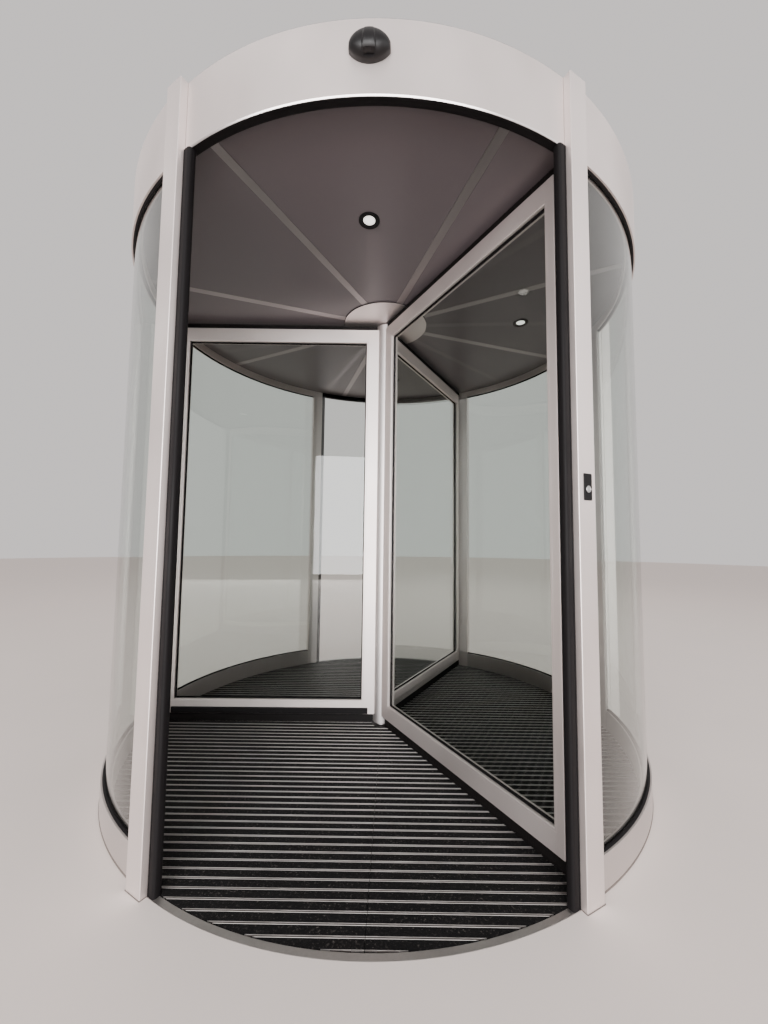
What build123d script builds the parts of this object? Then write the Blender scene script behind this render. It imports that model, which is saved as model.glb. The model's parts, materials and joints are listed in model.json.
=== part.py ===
from build123d import *
import os
from math import asin, cos, degrees, radians, sin, sqrt

# A three-wing revolving door. Lengths are in millimetres. The origin is the drum's centre at the
# underside of the floor ring. +Y points into the building, +X to the right seen from outside,
# and the facade lies on the plane Y = 0.

# Floor
floor_depth = 20.0              # floor ring and mat, let into the finished floor
ring_width = 20.0
mat_play = 0.5
mat_seam = 1.5
mat_bar_pitch = 33.7
mat_bar_width = 7.0
mat_bar_stand = 3.0             # bars above the carpet that they are fixed on
mat_bar_end = 3.0               # carpet shown past the end of a bar
mat_turn = 0.9                  # mat's turn about the axis, in degrees
bearing_radius = 50.0

# Drum
drum_radius = 1238.0            # outer face of the base rails and side fascias
wall_thickness = 38.0
passage_width = 1205.0          # between the posts' corners
passage_height = 2200.0         # finished floor to the front fascia's edge
fascia_height = 230.0
side_head_drop = 13.0           # side fascias reach this much lower than the front one

# Posts and safety profiles
post_width = 72.0
post_stand = 19.0               # posts stand proud of the drum
post_bevel = 1.5
jamb_width = 29.0
jamb_depth = 28.0
jamb_inset = 1.0                # profile lies inside the drum's outer face
jamb_nose = 13.0
jamb_slot_place = 5.0           # slot's distance from the post
jamb_slot_width = 2.0
jamb_slot_depth = 4.0

# Drum wall
base_rail_height = 101.0
glass_thickness = 10.0
glass_seat = 15.0               # depth of the glazing groove
glass_bite = 12.0               # glass held in the groove
lip_thickness = 9.0             # rail on each side of the groove
gasket_height = 7.0
gasket_cover = 4.0              # lip under the gasket
gasket_play = 0.2
mullion_width = 56.0
mullion_reach = 52.0            # facade connection outside the drum

# Canopy
fascia_thickness = 4.0
fascia_inset = 6.0              # front and back fascias lie inside the side ones
seat_gap = 0.3                  # between curved faces that seat on each other
ceiling_rise = 30.0             # ceiling above the passage's edge
ceiling_thickness = 12.0
ceiling_sectors = 8
ceiling_turn = -2.7             # pattern's turn about the axis, in degrees
strip_width = 22.0
strip_drop = 1.0
disc_radius = 240.0
disc_thickness = 5.0
disc_overlap = 25.0             # disc under the panels' inner ends
light_ring_radius = 770.0
light_count = 4
bezel_radius = 41.0
bezel_thickness = 4.0
lens_radius = 23.0
lens_recess = 1.0
frame_tube = 60.0               # square tubes of the canopy frame
frame_hub = 360.0
drive_length = 320.0
drive_width = 240.0
drive_height = 105.0
drive_bevel = 8.0
roof_thickness = 3.0
roof_margin = 1.0               # fascia's edge shown round the roof

# Sensor and button
sensor_width = 116.0
sensor_height = 84.0
sensor_depth = 41.0
sensor_rise = 92.0              # above the passage's edge
sensor_rim = 9.0                # depth of the housing at its rim
sensor_flat = 20.0              # straight stretch of its sides
nose_top_width = 20.0
nose_foot_width = 34.0
nose_stand = 5.0
nose_height = 74.0
recess_width = 26.0
recess_place = 16.0             # recess's back wall from the fascia
button_level = 1146.0           # centre of the plate above the finished floor
button_place = 43.0             # centre of the plate from the post's corner
plate_width = 30.0
plate_height = 78.0
plate_thickness = 3.0
button_radius = 10.0
button_play = 0.3
button_stand = 2.0
button_drop = 6.5               # button's centre under the plate's

# Rotor
leaf_count = 3
leaf_turn = 181.6               # first leaf's direction in degrees
leaf_side_gap = 43.0            # leaf frame to the drum's inner face
leaf_head_gap = 37.0            # leaf frame to the ceiling
leaf_foot_gap = 54.0            # leaf frame to the finished floor
leaf_depth = 44.0
leaf_round = 4.0
hinge_stile = 64.0
lock_stile = 38.0
top_rail = 76.0
bottom_rail = 73.0
bead_bevel = 2.5
pane_thickness = 8.0
pane_bite = 12.0
pane_play = 2.0                 # between the pane's edge and the groove's bottom
leaf_gasket_thickness = 5.0
leaf_gasket_bite = 8.0
leaf_gasket_shown = 5.5
fit_play = 0.2
bumper_height = 30.0
bumper_depth = 9.0
bumper_rise = 3.0               # above the leaf frame's underside
bumper_setback = 30.0           # from the column, and from the leaf's outer edge
column_radius = 44.0
column_foot_gap = 13.0
column_head_gap = 6.0           # under the ceiling disc
column_bevel = 5.0
shaft_radius = 25.0
shaft_clearance = 6.0
running_clearance = 0.3
brush_thickness = 14.0
brush_clearance = 5.0
brush_setback = 3.0             # from the column
holder_depth = 32.0
holder_height = 8.0

# Levels and radii that follow from the sizes above
floor_level = floor_depth
wall_inner = drum_radius - wall_thickness
post_outer = drum_radius + post_stand
ring_inner = drum_radius - ring_width
mat_radius = ring_inner - mat_play
passage_top = floor_level + passage_height
canopy_top = passage_top + fascia_height
side_head = passage_top - side_head_drop
ceiling_level = passage_top + ceiling_rise
frame_level = ceiling_level + ceiling_thickness
drive_level = frame_level + frame_tube
fascia_outer = drum_radius - fascia_inset
lip_outer = drum_radius - lip_thickness
lip_inner = wall_inner + lip_thickness
glass_inner = wall_inner + (wall_thickness - glass_thickness) / 2
glass_outer = glass_inner + glass_thickness
base_rail_top = floor_level + base_rail_height
leaf_radius = wall_inner - leaf_side_gap
leaf_low = floor_level + leaf_foot_gap
leaf_high = ceiling_level - leaf_head_gap
corner_angle = -90 + degrees(asin(passage_width / 2 / post_outer))
sector_angle = 360 / ceiling_sectors
shaft_hole = shaft_radius + shaft_clearance
near = 0.8 * drum_radius        # cutting blocks start here, well inside the wall
far = 1.4 * drum_radius         # and end here, well outside it
large = 6 * drum_radius


def turned(outline, start=0.0, arc=360.0):
    """A ring section, given as radius and height, turned about the door's axis."""
    face = make_face(Polyline(*[(radius, 0, z) for radius, z in outline], close=True))
    return Rot(0, 0, start) * revolve(face, Axis.Z, revolution_arc=arc)


def ring(inner, outer, low, high, start=0.0, arc=360.0):
    """A plain ring or part of one."""
    return turned([(inner, low), (outer, low), (outer, high), (inner, high)], start, arc)


def disc(radius, low, high, x=0.0, y=0.0):
    """A round plate from one height to another."""
    return Pos(x, y, low) * extrude(Circle(radius), amount=high - low)


def prism(outline, low, high):
    """A plan outline raised from one height to another."""
    face = make_face(Polyline(*[(x, y, low) for x, y in outline], close=True))
    return extrude(face, amount=high - low, dir=(0, 0, 1))


def block(x_span, depth, z_span):
    """A block centred on Y = 0, from one X and height to another."""
    centre = Pos(sum(x_span) / 2, 0, sum(z_span) / 2)
    return centre * Box(x_span[1] - x_span[0], depth, z_span[1] - z_span[0])


def at_post(along, radius):
    """A plan point beside the front right post's corner: along its face, and out from the axis."""
    angle = radians(corner_angle)
    return (
        radius * cos(angle) - along * sin(angle),
        radius * sin(angle) + along * cos(angle),
    )


def front_back(shape):
    """A front piece and its mirror image at the back."""
    return {"front": shape, "back": mirror(shape, Plane.XZ)}


def left_right(shape):
    """A right piece and its mirror image on the left."""
    return {"right": shape, "left": mirror(shape, Plane.YZ)}


def quarters(shape):
    """A front right piece and its mirror images in the other three quarters."""
    return {
        f"{end}_{side}": piece
        for end, half in front_back(shape).items()
        for side, piece in left_right(half).items()
    }


def passage_bay():
    """The space between the two posts of the front passage."""
    corners = [at_post(0, near), at_post(0, far)]
    mirrored = [(-x, y) for x, y in reversed(corners)]
    return prism(corners + mirrored, 0, large)


def wall_bay():
    """The space between the front right post and the side mullion."""
    post_side = [at_post(post_width, near), at_post(post_width, far)]
    mullion_side = [(far, -mullion_width / 2), (near, -mullion_width / 2)]
    return prism(post_side + [(far, -far)] + mullion_side, 0, large)


def side_bay():
    """The space between the two right-hand posts."""
    front = [at_post(post_width, near), at_post(post_width, far)]
    back = [(x, -y) for x, y in reversed(front)]
    return prism(front + [(far, -far), (far, far)] + back, 0, large)


def one(shape):
    """The single solid of a shape."""
    solids = shape.solids()
    assert len(solids) == 1, len(solids)
    return solids[0]


def together(shapes):
    """Several solids that don't touch, kept in one piece."""
    return Compound(children=[solid for shape in shapes for solid in shape.solids()])


# Floor ring, mat and bearing
def make_floor_ring():
    """A ring let into the floor, which frames the mat and carries the wall."""
    return ring(ring_inner, drum_radius, 0, floor_level)


def make_mat():
    """Carpet round the floor bearing, parted by a seam along Y."""
    carpet = disc(mat_radius, 0, floor_level - mat_bar_stand)
    seam = Rot(0, 0, mat_turn) * Box(mat_seam, large, large)
    return carpet - disc(bearing_radius, 0, floor_level) - seam


def make_mat_bars():
    """Scraper bars across both halves, cut off along the round mat's edge."""
    low = floor_level - mat_bar_stand
    reach = mat_radius - mat_bar_end
    plate = disc(reach, low, floor_level)
    turn = Rot(0, 0, mat_turn)
    count = int(reach / mat_bar_pitch)
    bars = []
    for index in range(-count, count + 1):
        line = index * mat_bar_pitch
        edge = max(abs(line) - mat_bar_width / 2, 0)
        start = max(sqrt(max(bearing_radius**2 - edge**2, 0)) + mat_play, mat_seam / 2)
        bar = Pos(0, line, 0) * block((start, reach), mat_bar_width, (low, floor_level)) & plate
        bars += [turn * bar, turn * mirror(bar, Plane.YZ)]
    return bars


def make_floor_bearing():
    return disc(bearing_radius - mat_play, 0, floor_level)


# Posts and safety profiles
def make_post():
    """A rectangular post beside the passage, with its two outer edges bevelled."""
    outline = [
        at_post(0, wall_inner),
        at_post(0, post_outer),
        at_post(post_width, post_outer),
        at_post(post_width, wall_inner),
    ]
    post = prism(outline, floor_level, canopy_top)
    return chamfer(post.edges().filter_by(Axis.Z).sort_by(Axis.Y)[:2], post_bevel)


def make_jamb_seal():
    """The rubber profile on the post's passage side: a slotted foot and a rounded nose."""
    outer = drum_radius - jamb_inset
    inner = outer - jamb_depth
    slot_end = jamb_slot_place + jamb_slot_width
    outline = [
        at_post(0, inner),
        at_post(0, outer),
        at_post(-jamb_slot_place, outer),
        at_post(-jamb_slot_place, outer - jamb_slot_depth),
        at_post(-slot_end, outer - jamb_slot_depth),
        at_post(-slot_end, outer),
        at_post(-jamb_width, outer),
        at_post(-jamb_width, inner),
    ]
    seal = prism(outline, floor_level, passage_top)
    return fillet(seal.edges().filter_by(Axis.Z).sort_by(Axis.X)[:2], jamb_nose)


# Drum wall
def make_base_rail():
    """A rail on the floor ring, with a groove that the glass stands in."""
    groove = base_rail_top - glass_seat
    outline = [
        (wall_inner, floor_level),
        (drum_radius, floor_level),
        (drum_radius, base_rail_top),
        (lip_outer, base_rail_top),
        (lip_outer, groove),
        (lip_inner, groove),
        (lip_inner, base_rail_top),
        (wall_inner, base_rail_top),
    ]
    return turned(outline, -90, 90) & wall_bay()


def make_wall_glass():
    """One curved pane, held in the grooves of the base rail and the head rail."""
    low = base_rail_top - glass_bite
    high = side_head + glass_bite
    return ring(glass_inner, glass_outer, low, high, -90, 90) & wall_bay()


def make_wall_gaskets():
    """Wedges along both faces of the glass, lying on the lips of the base and head rails."""
    bay = wall_bay()
    faces = [
        (glass_outer + gasket_play, lip_outer + gasket_cover),
        (glass_inner - gasket_play, lip_inner - gasket_cover),
    ]
    seats = [(base_rail_top, gasket_height), (side_head, -gasket_height)]
    return [
        turned([(glass, level), (lip, level), (glass, level + height)], -90, 90) & bay
        for glass, lip in faces
        for level, height in seats
    ]


def make_side_mullion():
    """The post on the facade line, with the fin that the facade is fixed to."""
    half = mullion_width / 2
    tip = drum_radius + mullion_reach
    core = ring(wall_inner, drum_radius, floor_level, side_head, -90, 180)
    core = core & block((near, far), mullion_width, (0, large))
    fin = prism([(near, -half), (tip, -half), (tip, half), (near, half)], floor_level, canopy_top)
    return core + (fin - disc(drum_radius, 0, large))


# Canopy
def make_side_fascia():
    """A curved cover whose lower edge is the head rail, with a groove for the glass."""
    skin = drum_radius - fascia_thickness
    groove = side_head + glass_seat
    outline = [
        (wall_inner, side_head),
        (lip_inner, side_head),
        (lip_inner, groove),
        (lip_outer, groove),
        (lip_outer, side_head),
        (drum_radius, side_head),
        (drum_radius, canopy_top),
        (skin, canopy_top),
        (skin, frame_level),
        (wall_inner, frame_level),
    ]
    return turned(outline, -90, 180) & side_bay()


def make_front_fascia():
    """A curved cover over the passage."""
    skin = fascia_outer - fascia_thickness
    return ring(skin, fascia_outer, passage_top, canopy_top, -150, 120) & passage_bay()


def make_header_seal():
    """The rubber band between the passage's edge and the ceiling."""
    outer = fascia_outer - fascia_thickness - seat_gap
    return ring(wall_inner, outer, passage_top, frame_level, -150, 120) & passage_bay()


def joint_turns():
    """The turns of the ceiling's joints, which run out from the axis."""
    return [Rot(0, 0, ceiling_turn + (index + 0.5) * sector_angle) for index in range(ceiling_sectors)]


def make_ceiling_panels():
    """Sectors between the joints, from the disc's edge out to the wall."""
    inner = disc_radius - disc_overlap
    panels = ring(inner, wall_inner - seat_gap, ceiling_level, frame_level)
    joint = block((0, far), strip_width, (0, large))
    return panels - [turn * joint for turn in joint_turns()]


def make_ceiling_strips():
    """Straight strips in the joints, a little lower than the panels."""
    end = sqrt((wall_inner - seat_gap) ** 2 - (strip_width / 2) ** 2)
    strip = block((disc_radius, end), strip_width, (ceiling_level - strip_drop, frame_level))
    return [turn * strip for turn in joint_turns()]


def make_ceiling_disc():
    """A plate under the inner ends of the panels, with a hole for the shaft."""
    return ring(shaft_hole, disc_radius, ceiling_level - disc_thickness, ceiling_level)


def light_places():
    """The lights, spread evenly in the middle of every second panel."""
    turns = [ceiling_turn + index * 360 / light_count for index in range(light_count)]
    return [Rot(0, 0, turn) * Pos(light_ring_radius, 0, 0) for turn in turns]


def make_bezel():
    """A ring under the ceiling, at the origin's plan place."""
    return ring(lens_radius + fit_play, bezel_radius, ceiling_level - bezel_thickness, ceiling_level)


def make_lens():
    """A round lens inside the bezel, at the origin's plan place."""
    return disc(lens_radius, ceiling_level - bezel_thickness + lens_recess, ceiling_level)


def make_canopy_frame():
    """Eight tubes in a ring on the head rails, and two crossing beams that carry the drive."""
    corner = wall_inner + lip_thickness
    width = frame_tube / cos(radians(180 / ceiling_sectors))
    outline = RegularPolygon(corner, ceiling_sectors) - RegularPolygon(corner - width, ceiling_sectors)
    tubes = Pos(0, 0, frame_level) * extrude(outline, amount=frame_tube)
    reach = (corner - width) * cos(radians(180 / ceiling_sectors)) + frame_tube / 2
    beam = block((-reach, reach), frame_tube, (frame_level, drive_level))
    hub = block((-frame_hub / 2, frame_hub / 2), frame_hub, (frame_level, drive_level))
    frame = tubes + Rot(0, 0, 22.5) * beam + Rot(0, 0, 112.5) * beam + hub
    return frame - disc(shaft_hole, 0, large)


def make_drive_unit():
    """A closed housing for the motor and gear, on the hub of the frame."""
    span = (-drive_length / 2, drive_length / 2)
    housing = block(span, drive_width, (drive_level, drive_level + drive_height))
    return chamfer(housing.edges().group_by(Axis.Z)[-1], drive_bevel)


def make_roof():
    """A round sheet over the canopy, on the edges of the front and back fascias."""
    return disc(fascia_outer - roof_margin, canopy_top, canopy_top + roof_thickness)


# Sensor and button
def sensor_side_profile(low, stand):
    """The sensor's section in the plane X = 0, raised by a stand, as a wide block."""
    rim = -fascia_outer - sensor_rim - stand
    tip = -fascia_outer - sensor_depth - stand
    high = low + sensor_height
    section = make_face([
        Line((0, 0, low), (0, rim, low)),
        ThreePointArc((0, rim, low), (0, tip, low + sensor_height / 2), (0, rim, high)),
        Line((0, rim, high), (0, 0, high)),
        Line((0, 0, high), (0, 0, low)),
    ])
    return extrude(section, amount=sensor_width, both=True)


def make_sensor():
    """A domed housing on the fascia, cut from three profiles, with a wedge nose over a recess."""
    half = sensor_width / 2
    low = passage_top + sensor_rise
    high = low + sensor_height
    middle = (low + high) / 2
    flat_low = middle - sensor_flat / 2
    flat_high = middle + sensor_flat / 2
    front = make_face([
        ThreePointArc((-half, 0, flat_low), (0, 0, low), (half, 0, flat_low)),
        Line((half, 0, flat_low), (half, 0, flat_high)),
        ThreePointArc((half, 0, flat_high), (0, 0, high), (-half, 0, flat_high)),
        Line((-half, 0, flat_high), (-half, 0, flat_low)),
    ])
    rim = -fascia_outer - sensor_rim
    plan = make_face([
        Line((half, rim, low), (half, 0, low)),
        Line((half, 0, low), (-half, 0, low)),
        Line((-half, 0, low), (-half, rim, low)),
        ThreePointArc((-half, rim, low), (0, -fascia_outer - sensor_depth, low), (half, rim, low)),
    ])
    dome = extrude(front, amount=far, dir=(0, -1, 0)) & sensor_side_profile(low, 0)
    dome = dome & extrude(plan, amount=sensor_height, dir=(0, 0, 1))

    nose_low = high - nose_height
    nose_face = make_face(Polyline(
        (-nose_top_width / 2, 0, high),
        (nose_top_width / 2, 0, high),
        (nose_foot_width / 2, 0, nose_low),
        (-nose_foot_width / 2, 0, nose_low),
        close=True,
    ))
    nose = extrude(nose_face, amount=far, dir=(0, -1, 0)) & sensor_side_profile(low, nose_stand)
    recess = Pos(0, -fascia_outer - recess_place - sensor_depth / 2, 0) * block(
        (-recess_width / 2, recess_width / 2), sensor_depth, (0, nose_low)
    )
    return dome + nose - recess - disc(fascia_outer + seat_gap, 0, large)


def make_button():
    """A plate on the post's outer face, with a round push-button in it."""
    angle = radians(corner_angle)
    face = Plane(
        origin=(*at_post(button_place, post_outer), floor_level + button_level),
        x_dir=(-sin(angle), cos(angle), 0),
        z_dir=(cos(angle), sin(angle), 0),
    )
    place = face * Pos(0, -button_drop, 0)
    plate = extrude(face * Rectangle(plate_width, plate_height), amount=plate_thickness)
    plate = plate - extrude(place * Circle(button_radius + button_play), amount=large)
    button = extrude(place * Circle(button_radius), amount=plate_thickness + button_stand)
    return plate, button


# Rotor
def make_column():
    """A round cover with bevelled ends, on the shaft from the bearing to the drive."""
    foot = floor_level + column_foot_gap
    top = ceiling_level - disc_thickness - column_head_gap
    cover = disc(column_radius, foot, top)
    cover = chamfer(cover.edges().filter_by(GeomType.CIRCLE), column_bevel)
    shaft = disc(shaft_radius, floor_level + running_clearance, drive_level - running_clearance)
    return cover + shaft


day_inner = column_radius + hinge_stile
day_outer = leaf_radius - lock_stile
day_low = leaf_low + bottom_rail
day_high = leaf_high - top_rail


def day_block(grow, depth):
    """The daylight opening of a leaf as a block, grown on all four sides."""
    return block((day_inner - grow, day_outer + grow), depth, (day_low - grow, day_high + grow))


def make_leaf_frame():
    """Stiles and rails of one leaf along +X, bevelled round the opening, with a glazing groove."""
    frame = block((0, leaf_radius), leaf_depth, (leaf_low, leaf_high))
    frame = fillet(frame.edges().filter_by(Axis.Z).sort_by(Axis.X)[2:], leaf_round)
    frame = frame - day_block(0, large)
    faces = frame.faces().sort_by(Axis.Y)
    rims = faces[0].inner_wires()[0].edges() + faces[-1].inner_wires()[0].edges()
    frame = chamfer(rims, bead_bevel)
    groove = day_block(pane_bite + pane_play, pane_thickness + 2 * leaf_gasket_thickness)
    return frame - groove - disc(column_radius, 0, large)


def make_leaf_pane():
    return day_block(pane_bite, pane_thickness)


def make_leaf_rubber():
    """Gaskets on both faces of the pane, and the bumper along the foot of the leading face."""
    hollow = day_block(-leaf_gasket_shown, large)
    thickness = leaf_gasket_thickness - 2 * fit_play
    gasket = day_block(leaf_gasket_bite, thickness) - hollow
    offset = (pane_thickness + leaf_gasket_thickness) / 2
    bumper_span = (column_radius + bumper_setback, leaf_radius - bumper_setback)
    bumper_low = leaf_low + bumper_rise
    bumper = block(bumper_span, bumper_depth, (bumper_low, bumper_low + bumper_height))
    bumper = Pos(0, (leaf_depth + bumper_depth) / 2, 0) * bumper
    bumper = fillet(bumper.edges().filter_by(Axis.X).sort_by(Axis.Y)[2:], bumper_depth / 3)
    return [Pos(0, offset, 0) * gasket, Pos(0, -offset, 0) * gasket, bumper]


def make_leaf_brushes():
    """Brush strips round the leaf's three free edges, with a holder under the bottom rail."""
    inner = column_radius + brush_setback
    tip = wall_inner - brush_clearance
    low = floor_level + brush_clearance
    high = ceiling_level - disc_thickness - brush_clearance
    side = block((leaf_radius, tip), brush_thickness, (low, high))
    top = block((inner, tip), brush_thickness, (leaf_high, high))
    bottom = block((inner, tip), brush_thickness, (low, leaf_low))
    holder = block((inner, leaf_radius - leaf_round), holder_depth, (leaf_low - holder_height, leaf_low))
    return side + top + bottom + holder


def make_rotor():
    """Column and leaves by name."""
    parts = {"centre_column": one(make_column())}
    frame = one(make_leaf_frame())
    fittings = {
        "leaf_panes": [make_leaf_pane()],
        "leaf_rubber": make_leaf_rubber(),
        "leaf_brushes": [make_leaf_brushes()],
    }
    places = [Rot(0, 0, leaf_turn + index * 360 / leaf_count) for index in range(leaf_count)]
    for number, place in enumerate(places, start=1):
        parts[f"leaf_frame_{number}"] = place * frame
    for name, pieces in fittings.items():
        parts[name] = together([place * piece for place in places for piece in pieces])
    return parts


def make_floor():
    """Floor ring, mat and bearing by name."""
    halves = make_mat().solids().sort_by(Axis.X)
    return {
        "floor_ring": one(make_floor_ring()),
        "mat_left": halves[0],
        "mat_right": halves[1],
        "mat_bars": together(make_mat_bars()),
        "floor_bearing": make_floor_bearing(),
    }


def make_wall():
    """Posts, safety profiles, rails, glass and mullions by name."""
    parts = {}
    for prefix, maker in (
        ("post", make_post),
        ("base_rail", make_base_rail),
        ("wall_glass", make_wall_glass),
    ):
        for place, piece in quarters(one(maker())).items():
            parts[f"{prefix}_{place}"] = piece
    for end, piece in front_back(one(make_jamb_seal())).items():
        parts[f"jamb_seals_{end}"] = together(left_right(piece).values())
    wedges = [quarters(one(wedge)).values() for wedge in make_wall_gaskets()]
    parts["wall_gaskets"] = together([piece for group in wedges for piece in group])
    for side, piece in left_right(one(make_side_mullion())).items():
        parts[f"side_mullion_{side}"] = piece
    return parts


def make_canopy():
    """Everything from the passage's edge up, by name."""
    parts = {}
    for side, piece in left_right(one(make_side_fascia())).items():
        parts[f"fascia_{side}"] = piece
    for end, piece in front_back(one(make_front_fascia())).items():
        parts[f"fascia_{end}"] = piece
    parts["header_seals"] = together(front_back(one(make_header_seal())).values())
    parts["ceiling_panels"] = together([make_ceiling_panels()])
    parts["ceiling_strips"] = together(make_ceiling_strips())
    parts["ceiling_disc"] = one(make_ceiling_disc())
    parts["downlight_bezels"] = together([place * make_bezel() for place in light_places()])
    parts["downlight_lenses"] = together([place * make_lens() for place in light_places()])
    parts["canopy_frame"] = one(make_canopy_frame())
    parts["drive_unit"] = one(make_drive_unit())
    parts["roof_cover"] = one(make_roof())
    return parts


def make_controls():
    """Sensors and push-buttons by name."""
    parts = {f"sensor_{end}": piece for end, piece in front_back(one(make_sensor())).items()}
    turned_back = Rot(0, 0, 180)
    for name, piece in zip(("button_plates", "push_buttons"), make_button()):
        parts[name] = together([piece, turned_back * piece])
    return parts


os.makedirs("parts", exist_ok=True)
for section in (make_floor(), make_wall(), make_canopy(), make_controls(), make_rotor()):
    for part_name, part in section.items():
        export_step(part, f"parts/{part_name}.step")
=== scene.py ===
import json
import random
from math import asin, ceil, cos, degrees, pi, radians, sin, sqrt, tan

import bmesh
import bpy
from bpy.props import FloatProperty, FloatVectorProperty, PointerProperty
from mathutils import Matrix, Vector

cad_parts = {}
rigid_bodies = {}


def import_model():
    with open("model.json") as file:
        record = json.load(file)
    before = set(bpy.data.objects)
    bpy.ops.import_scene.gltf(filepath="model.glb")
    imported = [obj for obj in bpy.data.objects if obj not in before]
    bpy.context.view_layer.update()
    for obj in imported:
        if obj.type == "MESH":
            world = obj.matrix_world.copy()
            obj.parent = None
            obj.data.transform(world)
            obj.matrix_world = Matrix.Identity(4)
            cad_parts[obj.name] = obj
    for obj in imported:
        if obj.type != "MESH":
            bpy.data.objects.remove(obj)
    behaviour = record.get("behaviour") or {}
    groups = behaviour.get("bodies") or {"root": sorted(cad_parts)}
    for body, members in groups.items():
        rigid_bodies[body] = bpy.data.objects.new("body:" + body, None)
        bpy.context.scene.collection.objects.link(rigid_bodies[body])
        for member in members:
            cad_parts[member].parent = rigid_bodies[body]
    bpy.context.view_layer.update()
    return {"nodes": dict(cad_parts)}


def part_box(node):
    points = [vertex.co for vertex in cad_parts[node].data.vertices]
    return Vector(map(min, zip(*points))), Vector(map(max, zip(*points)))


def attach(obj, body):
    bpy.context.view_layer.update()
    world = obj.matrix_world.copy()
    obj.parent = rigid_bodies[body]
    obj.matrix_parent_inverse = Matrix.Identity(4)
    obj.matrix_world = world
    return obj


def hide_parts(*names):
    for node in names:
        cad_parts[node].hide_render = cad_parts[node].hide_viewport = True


bl_info = {
    "name": "Revolving door",
    "version": (1, 0, 0),
    "blender": (4, 5, 0),
    "location": "3D View > Sidebar > Revolving door",
    "description": "Dresses the packed frame of a three-wing revolving door",
    "category": "Object",
}

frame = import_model()
MM = 0.001

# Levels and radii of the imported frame, in metres
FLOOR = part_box("floor_ring")[1].z
DRUM_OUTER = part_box("floor_ring")[1].x
MAT_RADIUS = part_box("mat_right")[1].x
BEARING_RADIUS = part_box("floor_bearing")[1].x
RAIL_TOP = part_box("base_rail_front_right")[1].z
SIDE_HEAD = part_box("fascia_right")[0].z
PASSAGE_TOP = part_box("fascia_front")[0].z
FASCIA_OUTER = -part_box("fascia_front")[0].y
CANOPY_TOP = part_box("fascia_front")[1].z
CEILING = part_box("ceiling_panels")[0].z
FRAME_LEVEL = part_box("canopy_frame")[0].z
ROOF_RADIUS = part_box("roof_cover")[1].x
ROOF_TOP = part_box("roof_cover")[1].z
DISC_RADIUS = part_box("ceiling_disc")[1].x
DISC_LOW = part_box("ceiling_disc")[0].z
MULLION_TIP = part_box("side_mullion_right")[1].x
SHAFT_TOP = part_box("centre_column")[1].z
LEAF_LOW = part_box("leaf_frame_1")[0].z
LEAF_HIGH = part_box("leaf_frame_1")[1].z
BRUSH_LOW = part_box("leaf_brushes")[0].z
BRUSH_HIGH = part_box("leaf_brushes")[1].z
SENSOR_LOW, SENSOR_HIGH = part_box("sensor_front")

# Small measures that pieces share
EASED = 0.8 * MM  # rounding of a sawn or moulded edge
LET_IN = 0.5 * MM  # joint round a piece let into the floor
SEAT = 0.3 * MM  # room between faces that seat on each other
PLAY = 0.2 * MM  # room between pieces that are fitted into each other
SAME_PLACE = 0.001 * MM  # vertices nearer than this are one
SECTORS = 8  # of the ceiling and the roof

# Copies of a front right piece
HERE = Matrix.Identity(4)
TO_LEFT = Matrix.Scale(-1, 4, (1, 0, 0))
TO_BACK = Matrix.Scale(-1, 4, (0, 1, 0))
ENDS = {"front": HERE, "back": TO_BACK}
SIDES = {"right": HERE, "left": TO_LEFT}
QUARTERS = {
    "front_right": HERE,
    "front_left": TO_LEFT,
    "back_right": TO_BACK,
    "back_left": TO_LEFT @ TO_BACK,
}


def linear(code):
    """A colour's linear values from its sRGB hex code."""
    values = [int(code[i:i + 2], 16) / 255 for i in (1, 3, 5)]
    return [v / 12.92 if v <= 0.04045 else ((v + 0.055) / 1.055) ** 2.4 for v in values]


def length(name, description, millimetres):
    """A length property, given in millimetres."""
    return FloatProperty(
        name=name, description=description, default=millimetres * MM, unit="LENGTH", precision=4
    )


def turn(name, description, value):
    """An angle property, given in degrees."""
    return FloatProperty(
        name=name, description=description, default=radians(value), unit="ROTATION"
    )


def colour(name, description, code):
    """A colour property, given as an sRGB hex code."""
    return FloatVectorProperty(
        name=name, description=description, default=linear(code), subtype="COLOR", size=3,
        min=0.0, max=1.0,
    )


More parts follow.
